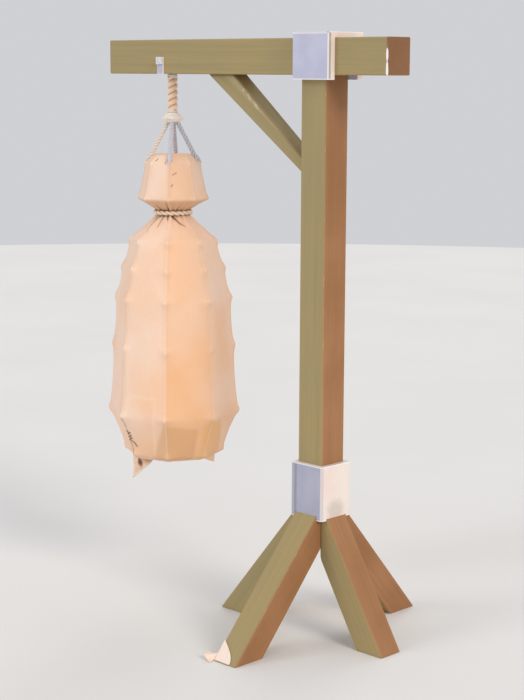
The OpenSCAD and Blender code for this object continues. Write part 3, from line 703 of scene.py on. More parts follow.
class PUNCHBAG_OT_timbers(bpy.types.Operator):
    """Stains the post and beam, and eases the arrises of the brace and the four legs"""

    bl_idname = "punchbag.timbers"
    bl_label = "Timbers"

    def execute(self, context):
        looks = context.scene.timber_looks
        post_low, post_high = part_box("post")
        post_mid = Vector(((post_low.x + post_high.x) / 2, 0, (post_low.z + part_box("beam")[0].z) / 2))
        post_half = ((post_high.x - post_low.x) / 2, (post_high.y - post_low.y) / 2, 2.0)
        upright = timber("post timber", post_half, 1.0, centre=post_mid)
        only_material(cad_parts["post"], upright)
        only_material(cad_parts["tenon_pegs"], upright)
        half = half_of("beam")
        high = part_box("beam")[1]
        corner = Vector((high.x - 0.001, -half.y + 0.001, centre_of("beam").z))
        scraped = [
            (corner + Vector((0, 0, 0.006)), (0.005, 0.007, 0.03)),
            (corner - Vector((0, 0, 0.045)), (0.005, 0.008, 0.036)),
        ]
        lying = timber("beam timber", (half.z, half.y, half.x), 5.0, centre=centre_of("beam"),
                       turn=(0, math.pi / 2, 0), scraped=scraped)
        only_material(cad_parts["beam"], lying)
        self.ease_brace(looks)
        self.ease_legs(looks, post_mid)
        return {"FINISHED"}

    def ease_brace(self, looks):
        low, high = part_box("brace")
        rise = Vector((low.x - high.x, 0, high.z - low.z))
        upright = along(rise, (0, 1, 0), centre_of("brace"))
        half = (half_of("brace").y, BRACE_HALF_DEPTH, 1.0)
        made = eased_copy("brace", upright, looks.round_over)
        only_material(made, timber("brace timber", half, 9.0, brown=0.0))
        ride_for(made, "stand", "timber", "brace")

    def ease_legs(self, looks, post_mid):
        names = ("leg_front", "leg_back", "leg_arm_side", "leg_stub_side")
        directions = ((0, -1), (0, 1), (-1, 0), (1, 0))
        for n, (name, (x, y)) in enumerate(zip(names, directions)):
            low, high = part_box(name)
            out = Vector((x, y, 0))
            far = max((low - post_mid).dot(out), (high - post_mid).dot(out))
            slope = (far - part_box("post")[1].x + post_mid.x) / high.z
            width = min(high.x - low.x, high.y - low.y)
            axis = Vector((-x * slope, -y * slope, 1)).normalized()
            outer = Vector((post_mid.x, post_mid.y, 0)) + out * far
            inward = axis.cross(Vector((y, -x, 0))).normalized()
            inward = inward if inward.dot(out) < 0 else -inward
            upright = along(axis, out, outer + inward * width / 2)
            half = (width / 2, width / 2, 2.0)
            made = eased_copy(name, upright, looks.round_over)
            only_material(made, timber(name + " timber", half, 13.0 + 4 * n))
            ride_for(made, "stand", "timber", name)


class PUNCHBAG_OT_iron(bpy.types.Operator):
    """Paints the saddle, collar, plates and swing link, and finishes the screws and bushes"""

    bl_idname = "punchbag.iron"
    bl_label = "Iron and Screws"

    def execute(self, context):
        low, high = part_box("base_collar")
        mid = centre_of("base_collar")
        # Painted shadow low on the collar's warm face, a painted shade band near the edge of its cool face,
        # and its cool side painted darker than the saddle's.
        shadow_spots = [(Vector((high.x, mid.y - 0.005, low.z + 0.03)), (0.03, 0.06, 0.06))]
        bands = [(Vector((low.x + 0.027, low.y, mid.z)), (0.009, 0.02, 0.9))]
        collar = painted_iron("collar paint", "base_collar", shadow_spots, bands, shade=0.88)
        low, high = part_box("top_saddle")
        # A painted shade line down the saddle's front corner, and its cool side painted lighter.
        bands = [(Vector((high.x, low.y + 0.008, centre_of("top_saddle").z)), (0.02, 0.008, 0.6))]
        saddle = painted_iron("saddle paint", "top_saddle", (), bands, shade=1.12)
        steel = metal("screw steel", (0.42, 0.42, 0.45), (0.2, 0.12, 0.08), 0.8, 0.4, 90)
        for look, names in (
            (collar, "base_collar"),
            (saddle, "top_saddle"),
            (painted_iron("plate paint", "hanger_plate_front", edge=0.0012),
             "hanger_plate_front hanger_plate_back"),
            (metal("worn bolt", (0.8, 0.8, 0.84), (0.5, 0.47, 0.45), 0.2, 0.35), "hanger_bolt"),
            (painted_iron("link paint", "swing_link", edge=0.002), "swing_link"),
            (steel, "saddle_screws collar_screws leg_screws leg_washers brace_screws hanger_nut"),
            (steel, "hanger_washer link_spacers link_pin split_pin socket_rivets rim_hoop"),
            (metal("bush bronze", (0.62, 0.4, 0.16), (0.3, 0.19, 0.09), 0.85, 0.35),
             "swivel_bush thrust_washer"),
            (metal("cream enamel", (0.93, 0.85, 0.77), (0.7, 0.58, 0.5), 0.0, 0.45, 70),
             "rope_socket rope_end_socket cap_top cap_base"),
            (metal("eyelet", (0.6, 0.57, 0.6), (0.5, 0.42, 0.4), 0.1, 0.5, 80), "cord_eyelets"),
        ):
            for name in names.split():
                only_material(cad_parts[name], look)
        return {"FINISHED"}


# ---------------------------------------------------------------- rope and cords


class PUNCHBAG_OT_rope(bpy.types.Operator):
    """Lays the rope's strands between its two sockets"""

    bl_idname = "punchbag.rope"
    bl_label = "Rope"

    def execute(self, context):
        looks = context.scene.rope_looks
        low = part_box("rope_end_socket")[1].z - 0.012
        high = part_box("rope_socket")[0].z + 0.009
        line = [BAG_AXIS + Vector((0, 0, low + (high - low) * n / 20)) for n in range(21)]
        # Painted shade and highlight: the strands are darker near the rope's axis, between them, and paler
        # on their outer crowns.
        look = strand_fibre("rope fibre", looks.fibre, looks.crown_highlight, 0.0075, (0.011, 0.0205))
        made = laid("laid_rope", [line], look, looks.strand, looks.strands, looks.lay_radius, looks.lay,
                    step=0.002, sides=18, grips=(0.018, 0.016), shares=(0.6, 0.6))
        ride_for(made, "rope_hanger", "rope_fibre", "rope")
        return {"FINISHED"}


# Radius and height of the points where a cord lies on the bag's shoulder, below its eyelet
CORD_RESTS = ((0.0945, 1.7565), (0.1015, 1.749), (0.107, 1.7405), (0.109, 1.734))


def cord_line(turn, inner, outer, top, low):
    """A cord's route: straight from the cap to its eyelet, then down the seam to a point."""
    straight = [about(turn, inner + (outer - inner) * n / 8, top + (low - top) * n / 8) for n in range(9)]
    return straight + [about(turn, *rest) for rest in CORD_RESTS]


class PUNCHBAG_OT_cords(bpy.types.Operator):
    """Lays the four suspension cords from the cap to the bag's shoulder"""

    bl_idname = "punchbag.cords"
    bl_label = "Suspension Cords"

    def execute(self, context):
        looks = context.scene.rope_looks
        strand = looks.cord_strand
        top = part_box("cap_base")[0].z + 0.003
        lines = [cord_line(turn, 0.017, 0.0865, top, 1.7635) for turn in CORD_TURNS]
        # Each cord is painted darker as shade in the grooves of its twist, and paler on its yarns' crowns.
        plain = strand_fibre("cord fibre", tuple(0.8 * c for c in looks.cord), looks.cord, 0.006)
        faded = strand_fibre("faded cord fibre", (0.72, 0.6, 0.5), (0.92, 0.83, 0.74), 0.006)
        made = laid("suspension_cord_strands", lines, plain, strand, 3, 1.15 * strand, 0.042,
                    step=0.002, sides=10, grips=(0.0001, 0.03), shares=(1.0, 0.12))
        made.data.materials.append(faded)
        faded_way = compass(CORD_TURNS[3]).xy
        for face in made.data.polygons:
            if (face.center - BAG_AXIS).xy.normalized().dot(faded_way) > 0.9:
                face.material_index = 1
        ride_for(made, "bag", "cord_fibre", "suspension_cords")
        return {"FINISHED"}


# ---------------------------------------------------------------- the bag


def ring_radius(rings, height):
    """Corner radius at a height, on straight lines between the rings."""
    for (r0, z0), (r1, z1) in zip(rings, rings[1:]):
        if height <= z1:
            return r0 + (r1 - r0) * max(0.0, height - z0) / (z1 - z0)
    return rings[-1][0]


def seam_radius(rings, height, looks):
    """Corner radius where the seam falls in between its drawn points."""
    radius = ring_radius(rings, height)
    for (_, z0), (_, z1) in zip(rings, rings[1:]):
        if z0 < height < z1 < 1.5 and z1 - z0 > 0.05:
            share = (height - z0) / (z1 - z0)
            radius -= looks.sag * 4 * share * (1 - share)
    for _, ring in rings[1:-1]:
        if abs(ring - NECK) > 0.02:
            radius += looks.peak * hump(height - ring, 0.014)
    return radius


def levels(rings, step):
    """Heights of the grid's rows, with a row on every ring."""
    rows = [rings[0][1]]
    for (r0, z0), (r1, z1) in zip(rings, rings[1:]):
        count = max(1, round(math.hypot(r1 - r0, z1 - z0) / step))
        rows += [z0 + (z1 - z0) * (n + 1) / count for n in range(count)]
    return rows


def on_gore(gore, share, radius, height):
    """A point part of the way along a gore's flat side."""
    a0, a1 = (GORE_TURN + (gore + n) * TAU / GORES for n in (0, 1))
    x, y = (radius * ((1 - share) * part(a0) + share * part(a1)) for part in (math.cos, math.sin))
    return BAG_AXIS + Vector((x, y, height))


def gored_shell(name, rings, looks):
    """The sewn cloth before it is filled: rows of squares over eight flat gores, closed at both ends."""
    rows = levels(rings, looks.grid)
    across = 16
    columns = GORES * across
    places = []
    for height in rows:
        corner = seam_radius(rings, height, looks)
        flat = ring_radius(rings, height)
        for column in range(columns):
            gore, t = divmod(column, across)
            t /= across
            near = (1 - min(t, 1 - t) / 0.22) if min(t, 1 - t) < 0.22 else 0
            places.append(on_gore(gore, t, flat + (corner - flat) * near ** 2, height))
    starts = [row * columns for row in range(len(rows))]
    faces = []
    for start in starts[:-1]:
        for column in range(columns):
            right = start + (column + 1) % columns
            faces.append((start + column, right, right + columns, start + column + columns))
    faces += end_cap(places, 0, columns, False)
    faces += end_cap(places, starts[-1], columns, True)
    data = bpy.data.meshes.new(name)
    data.from_pydata(places, [], faces)
    data.update()
    made = mesh_object(name, data)
    pinned = [i for i in range(len(rows) * columns) if i % across == 0]
    pinned += list(range(columns)) + list(range(starts[-1], len(places)))
    made.vertex_groups.new(name="seams").add(sorted(set(pinned)), 1.0, "REPLACE")
    return made


def end_cap(places, start, columns, upwards):
    """Closes a ring of points with smaller rings and a point in the middle."""
    faces = []
    edge = ring = range(start, start + columns)
    centre = sum((places[i] for i in ring), Vector()) / columns
    for share in (0.9, 0.72, 0.5, 0.25):
        inner = range(len(places), len(places) + columns)
        places += [centre.lerp(places[i], share) for i in edge]
        faces += [quad(ring, inner, n, upwards) for n in range(columns)]
        ring = inner
    places.append(centre)
    tip = len(places) - 1
    for n in range(columns):
        first, second = ring[n], ring[(n + 1) % columns]
        faces.append((first, second, tip) if upwards else (second, first, tip))
    return faces


def quad(outer, inner, n, upwards):
    m = (n + 1) % len(outer)
    face = (outer[n], outer[m], inner[m], inner[n])
    return face if upwards else face[::-1]


CLOTH_SETTINGS = {
    "quality": 6, "mass": 0.35, "tension_stiffness": 25, "compression_stiffness": 25,
    "shear_stiffness": 12, "bending_stiffness": 1.5, "vertex_group_mass": "seams",
    "pin_stiffness": 1.0, "use_pressure": True, "uniform_pressure_force": 4.0,
}
SETTLING_FRAMES = 16


def fill_with_pressure(made, looks):
    """Lets the filling push the cloth out between its seams, and keeps the result."""
    before = [v.co.copy() for v in made.data.vertices]
    cloth = made.modifiers.new("filling", "CLOTH")
    for key, value in CLOTH_SETTINGS.items():
        setattr(cloth.settings, key, value)
    cloth.settings.effector_weights.gravity = 0.0
    cloth.collision_settings.use_collision = False
    scene = bpy.context.scene
    for number in range(1, SETTLING_FRAMES + 1):
        scene.frame_set(number)
    after = plain_mesh(made, made.name + "_filled")
    made.modifiers.remove(cloth)
    for old, vertex in zip(before, after.vertices):
        push = vertex.co - old
        if push.length > looks.puff:
            vertex.co = old + push.normalized() * looks.puff
    made.data = after
    scene.frame_set(1)


def subdivided(made):
    """One level of subdivision, kept."""
    modifier = made.modifiers.new("finer", "SUBSURF")
    modifier.levels = modifier.render_levels = 1
    modifier.boundary_smooth = "PRESERVE_CORNERS"
    finer = plain_mesh(made, made.name)
    made.modifiers.remove(modifier)
    made.data = finer


def angle_of(place):
    """Angle about the bag's axis, from its front, between -pi and pi."""
    turn = math.atan2(place.y - BAG_AXIS.y, place.x - BAG_AXIS.x) - FRONT
    return (turn + math.pi) % TAU - math.pi


def mark(data, name, values):
    """Stores one number for each point."""
    stored = data.attributes.get(name) or data.attributes.new(name, "FLOAT", "POINT")
    stored.data.foreach_set("value", values)


def soft_area(corners, turn, height, radius, edge):
    """1 inside a convex area of (degrees from the front, height) corners, falling to 0 over its edge."""
    inside = 1.0
    for (a0, z0), (a1, z1) in zip(corners, corners[1:] + corners[:1]):
        u, v = math.radians(a1 - a0) * radius, z1 - z0
        du, dv = (turn - math.radians(a0)) * radius, height - z0
        gap = (u * dv - v * du) / math.hypot(u, v)
        inside = min(inside, clamped(0.5 - gap / edge))
    return inside


def groove(line, turn, height, radius, width):
    """1 on a crease from (degrees, height) to (degrees, height), tapering to its far end."""
    (a0, z0), (a1, z1) = line
    u, v = math.radians(a1 - a0) * radius, z1 - z0
    du, dv = (turn - math.radians(a0)) * radius, height - z0
    share = clamped((du * u + dv * v) / (u * u + v * v))
    return hump(math.hypot(du - share * u, dv - share * v), width * (1 - 0.75 * share))


# Areas of the canvas that were patched or have changed colour, clockwise from the front
BROWN_AREA = ((-9.9, 0.722), (24.0, 0.703), (24.5, 0.55), (-27.4, 0.55))
OCHRE_AREA = ((30.0, 0.722), (49.0, 0.735), (69.0, 0.6), (66.0, 0.55), (30.0, 0.55))
LEFT_PATCH = ((-42.0, 0.825), (-18.5, 0.822), (-25.0, 0.55), (-62.0, 0.55))
# Creases that run from the neck: start, end, width and depth
BODY_CREASES = (
    (((-3.0, 1.531), (27.0, 1.490)), 0.0042, 0.005),
    (((6.0, 1.522), (19.0, 1.497)), 0.0035, 0.003),
    (((-34.0, 1.531), (-35.0, 1.486)), 0.0032, 0.004),
    (((-48.0, 1.531), (-54.0, 1.488)), 0.0034, 0.004),
    (((-62.0, 1.525), (-50.0, 1.464)), 0.0026, 0.003),
    (((-20.0, 1.532), (-15.0, 1.512)), 0.0036, 0.004),
    (((118.0, 1.531), (126.0, 1.484)), 0.003, 0.003),
    (((-140.0, 1.531), (-132.0, 1.478)), 0.003, 0.003),
    (((172.0, 1.531), (160.0, 1.492)), 0.0025, 0.003),
)
HEAD_CREASES = (
    (((-15.0, 1.549), (-13.0, 1.580)), 0.0026, 0.003),
    (((10.0, 1.549), (16.0, 1.568)), 0.0016, 0.002),
    (((-44.0, 1.549), (-40.0, 1.574)), 0.0018, 0.002),
    (((110.0, 1.549), (104.0, 1.580)), 0.0024, 0.003),
    (((-150.0, 1.549), (-156.0, 1.582)), 0.0024, 0.003),
)
# Tone of each gore, from the palest at 0 to the warmest at 1, starting at the first seam
GORE_TONES = (0.85, 0.4, 0.65, 0.25, 0.5, 0.35, 0.3, 0.08)


def shape_canvas(made, creases, looks):
    """Presses pleats and creases into the cloth, marks where it is patched and pale, paints shade into its
    creases, neck pleats, head underside and lower curve, and paints a highlight along its seams.
    """
    data = made.data
    marks = {name: [] for name in MARKS}
    normals = [v.normal.copy() for v in data.vertices]
    for vertex, normal in zip(data.vertices, normals):
        place = vertex.co
        turn = angle_of(place)
        radius = max(0.02, (place - BAG_AXIS).xy.length)
        height = place.z
        away = abs(height - NECK)
        stain = 0.0
        push = 0.0
        # Each crease is pressed in and painted dark as shade.
        for line, width, depth in creases:
            if abs(height - line[0][1]) < 0.1:
                on = groove(line, turn, height, radius, width)
                stain = max(stain, on)
                push = min(push, -depth * on)
        wander = noise.noise(Vector((math.cos(turn), math.sin(turn), 6 * away)) * 3)
        pleat = 0.5 + 0.5 * math.cos(26 * turn + 2.2 * wander)
        fade = math.exp(-away / 0.026)
        push -= looks.gather * fade * pleat
        brown = soft_area(BROWN_AREA, turn, height, radius, 0.016)
        ochre = soft_area(OCHRE_AREA, turn, height, radius, 0.016)
        left = soft_area(LEFT_PATCH, turn, height, radius, 0.005)
        rim = soft_area(LEFT_PATCH, turn, height, radius, 0.03) - left
        push += 0.0007 * max(brown, ochre, left)
        vertex.co = place + normal * push
        seam = (math.degrees(turn + FRONT - GORE_TURN) / 45) % GORES
        gore = int(seam)
        share = seam - gore
        tone = GORE_TONES[gore] * (1 - share) + GORE_TONES[(gore + 1) % GORES] * share
        tone = 0.65 * GORE_TONES[gore] + 0.35 * tone
        tone *= 0.6 if height > NECK else 0.55 + 0.45 * clamped((1.3 - height) / 0.25)
        # The left patch is warmer; below 0.72 m the lower curve, turned to the floor, is painted darker as
        # shade.
        tone += 0.12 * left + 0.22 * max(0.0, (0.72 - height) / 0.2)
        # Painted shade: the head's underside, just above the neck, is painted brown.
        under = 0.9 * clamped((1.597 - height) / 0.012) if NECK < height else 0.0
        near_seam = min(share, 1 - share) * TAU / GORES * radius
        front_seam = abs(turn + math.radians(7.7)) * radius if height > 1.6 else 1.0
        marks["tone"].append(clamped(tone))
        # Brown marks the real patch, and is painted as shade under the head and in the pleat valleys at the
        # neck.
        marks["brown"].append(max(0.75 * brown, under, 0.45 * fade * pleat))
        marks["ochre"].append(ochre)
        # Pale rims the left patch and the hem as wear, and is painted along each seam as a highlight.
        marks["pale"].append(max(0.55 * max(0.0, rim), 0.22 * hump(near_seam, 0.004),
                                 0.8 * hump(height - HEM, 0.005)))
        # Painted shade: dark in the creases and the neck's pleat valleys; the line along the head's front
        # seam is a dark seam.
        marks["stain"].append(min(1.0, 0.92 * stain + 0.4 * fade * fade * pleat
                                  + 0.22 * hump(front_seam, 0.003)))
    for name, values in marks.items():
        mark(data, name, values)
    lay_flat(data)
    data.update()


def lay_flat(data):
    """A UV map in metres: the way round each gore, and the height."""
    layer = data.uv_layers.get("UVMap") or data.uv_layers.new(name="UVMap")
    for face in data.polygons:
        first = None
        for loop in face.loop_indices:
            place = data.vertices[data.loops[loop].vertex_index].co
            turn = angle_of(place)
            first = turn if first is None else first
            turn += TAU * round((first - turn) / TAU)
            layer.data[loop].uv = (turn * 0.22, place.z)


def sewn_sack(name, rings, creases, look, looks):
    """One stuffed sack: cut in gores, filled, pleated and marked."""
    made = gored_shell(name, rings, looks)
    fill_with_pressure(made, looks)
    subdivided(made)
    shape_canvas(made, creases, looks)
    only_material(made, look)
    smooth(made)
    return made


def on_cloth(skin, turn, height, lift):
    """A point on a cloth at an angle about the bag's axis and a height, lifted off it."""
    place, normal, _, _ = skin.ray_cast(about(turn, 0.5, height), -compass(turn))
    if place is None:
        raise RuntimeError(f"no cloth at {math.degrees(turn):.0f} degrees, height {height:.3f}")
    return place + normal * lift


def skin_of(name):
    data = bpy.data.objects[name].data
    return BVHTree.FromPolygons([v.co for v in data.vertices], [p.vertices for p in data.polygons])


class PUNCHBAG_OT_bag(bpy.types.Operator):
    """Sews and stuffs the body and head of the bag"""

    bl_idname = "punchbag.bag"
    bl_label = "Canvas Bag"

    def execute(self, context):
        looks = context.scene.bag_looks
        look = canvas("handled canvas")
        body = sewn_sack("bag_body", BODY_RINGS, BODY_CREASES, look, looks)
        head = sewn_sack("bag_head", HEAD_RINGS, HEAD_CREASES, look, looks)
        ride_for(body, "bag", "canvas", "bag_canvas", "bag_base", "body_filling")
        ride_for(head, "bag", "canvas", "head_canvas", "bag_lid", "head_filling")
        return {"FINISHED"}


class PUNCHBAG_OT_seams(bpy.types.Operator):
    """Adds the corded seams, the rolled hem, the stitches and the tie round the neck"""

    bl_idname = "punchbag.seams"
    bl_label = "Seams and Neck Tie"

    def execute(self, context):
        welt = canvas("seam canvas", (0.92, 0.61, 0.42))
        lines = []
        stitch_lines = []
        for name, low, high in (("bag_body", 0.568, 1.478), ("bag_head", 1.596, 1.764)):
            skin = skin_of(name)
            count = int((high - low) / 0.012)
            heights = [low + (high - low) * n / count for n in range(count + 1)]
            for turn in SEAM_TURNS:
                lines.append([on_cloth(skin, turn, z, 0.0) for z in heights])
                for side in (-0.0085, 0.0085):
                    stitch_lines.append([
                        on_cloth(skin, turn + side / ring_radius(BODY_RINGS + HEAD_RINGS[1:], z), z, 0.0003)
                        for z in heights
                    ])
        ride_for(laid("gore_seams", lines, welt, 0.0009, step=0.006, sides=8), "bag", "canvas")
        stitches = grow("seam_stitches", stitch_lines, "Running Stitches", Pitch=0.011,
                        Stitch_Length=0.0072, Thread_Radius=0.0008,
                        Material=thread("canvas thread", (0.86, 0.62, 0.43)))
        ride_for(stitches, "bag", "canvas")
        self.roll_hem(welt)
        self.tie_neck()
        return {"FINISHED"}

    def roll_hem(self, welt):
        """Rolled edges round the hem and the rim."""
        lines = [[on_gore(gore, n / 12, radius, height + lift) for gore in range(GORES) for n in range(12)]
                 for (radius, height), lift in ((BODY_RINGS[0], 0.001), (HEAD_RINGS[-1], -0.0012))]
        hem = laid("rolled_hem", lines, welt, 0.0022, cyclic=True, step=0.006, sides=8)
        ride_for(hem, "bag", "canvas")

    def tie_neck(self):
        """A roll of twisted canvas over the gathers."""
        major = 0.0705
        ring = [BAG_AXIS + Vector((major * math.cos(TAU * n / 96), major * math.sin(TAU * n / 96), NECK))
                for n in range(96)]
        # Painted shade: the roll is dark brown where it turns in to the bag, and pale as a highlight on its
        # outer side.
        look = strand_fibre("tie fibre", (0.42, 0.22, 0.1), (0.93, 0.77, 0.6), 0.02, (0.07, 0.0765))
        tie = laid("neck_tie_roll", [ring], look, 0.0056, 2, 0.0038, TAU * major / 10,
                   cyclic=True, step=0.002, sides=14)
        ride_for(tie, "bag", "canvas", "neck_tie")


class PUNCHBAG_OT_darning(bpy.types.Operator):
    """Darns the split seam low on the bag, and leaves a few loose stitches on the head"""

    bl_idname = "punchbag.darning"
    bl_label = "Darning"

    def execute(self, context):
        body = skin_of("bag_body")
        head = skin_of("bag_head")
        dark = thread("dark thread", (0.14, 0.065, 0.032))
        seam = GORE_TURN - TAU / GORES

        def beside(offset, height, lift):
            return on_cloth(body, seam + offset / ring_radius(BODY_RINGS, height), height, lift)

        split = [[beside(0.001 + 0.0012 * math.sin(n * 2.1), 0.572 + 0.0087 * n, 0.0) for n in range(20)]]
        rises = [0.64 + 0.0062 * n + (0.0022 if n in (2, 5) else 0) for n in range(8)]
        tail = [beside(0.017 + 0.004 * n, 0.64 - 0.003 * n - 0.0012 * n * n, 0.0014) for n in range(4)]
        zigzag = [[beside(-0.006 if n % 2 else 0.017, z, 0.0016) for n, z in enumerate(rises)], tail]
        ride_for(laid("split_seam", split, dark, 0.0008, sides=6, grips=(0.03, 0.06), shares=(0.3, 0.2)),
                 "bag", "dark_thread")
        stitches = laid("darning_stitches", zigzag, dark, 0.0012, step=0.003, sides=6,
                        grips=(0.006, 0.006), shares=(0.4, 0.4))
        ride_for(stitches, "bag", "dark_thread", "repair_stitches")
        ticks = []
        for degrees, height, lean in ((-43, 1.748, 0.004), (-17, 1.737, 0.001), (3, 1.696, 0.008),
                                      (-2, 1.652, 0.003)):
            turn = FRONT + math.radians(degrees)
            ticks.append([on_cloth(head, turn + lean * t / 0.11, height + 0.005 * t, 0.0006)
                          for t in (-1, 0, 1)])
        loose = laid("loose_stitches", ticks, thread("brown thread", (0.3, 0.15, 0.07)), 0.0011,
                     step=0.003, sides=6, grips=(0.005, 0.005), shares=(0.4, 0.4))
        ride_for(loose, "bag", "dark_thread")
        return {"FINISHED"}


def thin_cloth(name, rows, flats, marks, flipped, thickness, offset, look, finer=False):
    """A thin cloth through rows of points, with its flat sizes as its UV map."""
    width = len(rows[0])
    corners = (0, width, width + 1, 1) if flipped else (0, 1, width + 1, width)
    faces = [tuple(row * width + column + corner for corner in corners)
             for row in range(len(rows) - 1) for column in range(width - 1)]
    data = bpy.data.meshes.new(name)
    data.from_pydata([place for row in rows for place in row], [], faces)
    for key in MARKS:
        mark(data, key, marks[key])
    layer = data.uv_layers.new(name="UVMap")
    for loop in data.loops:
        layer.data[loop.index].uv = flats[loop.vertex_index]
    made = mesh_object(name, data)
    weld(data)
    thick = made.modifiers.new("cloth", "SOLIDIFY")
    thick.thickness = thickness
    thick.offset = offset
    if finer:
        modifier = made.modifiers.new("finer", "SUBSURF")
        modifier.levels = modifier.render_levels = 1
    kept = plain_mesh(made, name)
    made.modifiers.clear()
    made.data = kept
    only_material(made, look)
    smooth(made)
    return made


def weld(data):
    """Joins the points that met at a tip."""
    work = bmesh.new()
    work.from_mesh(data)
    bmesh.ops.remove_doubles(work, verts=work.verts, dist=1e-5)
    bmesh.ops.recalc_face_normals(work, faces=work.faces)
    work.to_mesh(data)
    work.free()


# Rows and columns of squares in a torn corner
EAR_SQUARES = 26


def ear(name, turn, radius, outline, curl, marks_for, look):
    """A torn corner of canvas, hanging from the hem and curling at its tip."""
    left_top, tip, shoulder, right_top = outline
    side = Vector((-math.sin(turn), math.cos(turn), 0))
    drop = -tip[1]
    rows, flats = [], []
    for n in range(EAR_SQUARES + 1):
        depth = drop * n / EAR_SQUARES
        left = left_top[0] + (tip[0] - left_top[0]) * depth / drop
        if depth < -shoulder[1]:
            right = right_top[0] + (shoulder[0] - right_top[0]) * depth / -shoulder[1]
        else:
            right = shoulder[0] + (tip[0] - shoulder[0]) * (depth + shoulder[1]) / (drop + shoulder[1])
        rows.append([])
        for column in range(EAR_SQUARES + 1):
            t = left + (right - left) * column / EAR_SQUARES
            lift = curl * (depth / drop) ** 2 + 0.0022 * noise.noise(Vector((t * 45, depth * 45, 3)))
            lift += 0.002 * math.sin(t * 130 + depth * 60) * min(1.0, depth / 0.02)
            low = Vector((0, 0, HEM - 0.0005 - depth))
            rows[-1].append(BAG_AXIS + compass(turn) * (radius + lift) + side * t + low)
            flats.append((t, -depth))
    points = [marks_for(t, -low) for t, low in flats]
    marks = {key: [point[key] for point in points] for key in MARKS}
    return thin_cloth(name, rows, flats, marks, True, 0.0016, 0, look)


def large_ear_marks(t, depth):
    """The large ear: pale edges, a dark hole near its top painted as shade, painted shadow under the hem,
    and dark specks.
    """
    # Painted shade: a dark hole where the cloth is torn, and a shadow under the hem to its right.
    hole_shade = math.exp(-(((t + 0.044) / 0.019) ** 2 + ((depth - 0.031 - 0.4 * (t + 0.044)) / 0.02) ** 2) ** 2)
    shade = clamped(1 - (depth - 0.016) / 0.02) * clamped((t + 0.04) / 0.01)
    specks = 1.0 if noise.noise(Vector((t * 160, depth * 160, 1))) > 0.36 and depth > 0.025 else 0.0
    right = 0.052 - 1.5 * (depth - 0.013)
    edge = min(abs(t + 0.099 - 0.036 * depth), 0.6 * abs(right - t))
    return {"tone": 0.25, "brown": min(1.0, 0.9 * shade + 0.6 * specks), "ochre": 0.0,
            "pale": hump(edge, 0.006), "stain": max(hole_shade, 0.3 * shade, 0.25 * specks)}


def small_ear_marks(t, depth):
    """The small ear: one warm, yellowed tone all over."""
    return {"tone": 0.7, "brown": 0.35, "ochre": 0.4, "pale": 0.3, "stain": 0.0}


class PUNCHBAG_OT_ears(bpy.types.Operator):
    """Hangs the two torn corners of canvas from the hem"""

    bl_idname = "punchbag.ears"
    bl_label = "Torn Corners"

    def execute(self, context):
        look = canvas("torn canvas")
        large = ear("torn_corner_large", math.radians(-102), 0.1325,
                    ((-0.099, 0), (-0.095, -0.111), (0.052, -0.013), (0.062, 0)),
                    0.006, large_ear_marks, look)
        ride_for(large, "bag", "canvas", "corner_ear_large")
        small = ear("torn_corner_small", math.radians(17.5), 0.1525,
                    ((-0.037, 0), (0.055, -0.035), (0.059, -0.0175), (0.063, 0)),
                    0.001, small_ear_marks, look)
        ride_for(small, "bag", "canvas", "corner_ear_small")
        return {"FINISHED"}


# ---------------------------------------------------------------- scrap on the foot


def scrap(name, rows, tone, pale, look):
    """A scrap of the pale cloth through rows of points."""
    width = len(rows[0])
    count = len(rows) * width
    flats = [(n % width * 0.003, n // width * 0.003) for n in range(count)]
    values = {"tone": tone, "brown": 0.0, "ochre": 0.0, "pale": pale, "stain": 0.0}
    marks = {key: [value] * count for key, value in values.items()}
    return thin_cloth(name, rows, flats, marks, False, 0.0014, 1, look, finer=True)


def through(points, share):
    """A point on a smooth curve through a few points."""
    spans = len(points) - 1
    place = min(share * spans, spans - 1e-6)
    n = int(place)
    t = place - n
    p0, p1, p2, p3 = (Vector(points[max(0, min(spans, n + k))]) for k in (-1, 0, 1, 2))
    return 0.5 * (2 * p1 + (p2 - p0) * t + (2 * p0 - 5 * p1 + 4 * p2 - p3) * t * t
                  + (3 * p1 - p0 - 3 * p2 + p3) * t ** 3)


# Curves across the scrap's loose end, in millimetres: from the foot outwards, and from lip to point
TAIL_EDGES = (
    ((-54, -478, 27), (-67, -491, 26), (-80, -506, 35), (-89, -512, 27)),
    ((-55, -480, 20), (-68, -494, 19), (-83, -509, 23), (-91, -513, 20)),
    ((-57, -482, 14), (-66, -500, 10), (-74, -513, 11), (-87, -512, 14)),
    ((-59, -484, 7), (-56, -506, 3), (-52, -520, 1.5), (-85, -510, 12)),
)


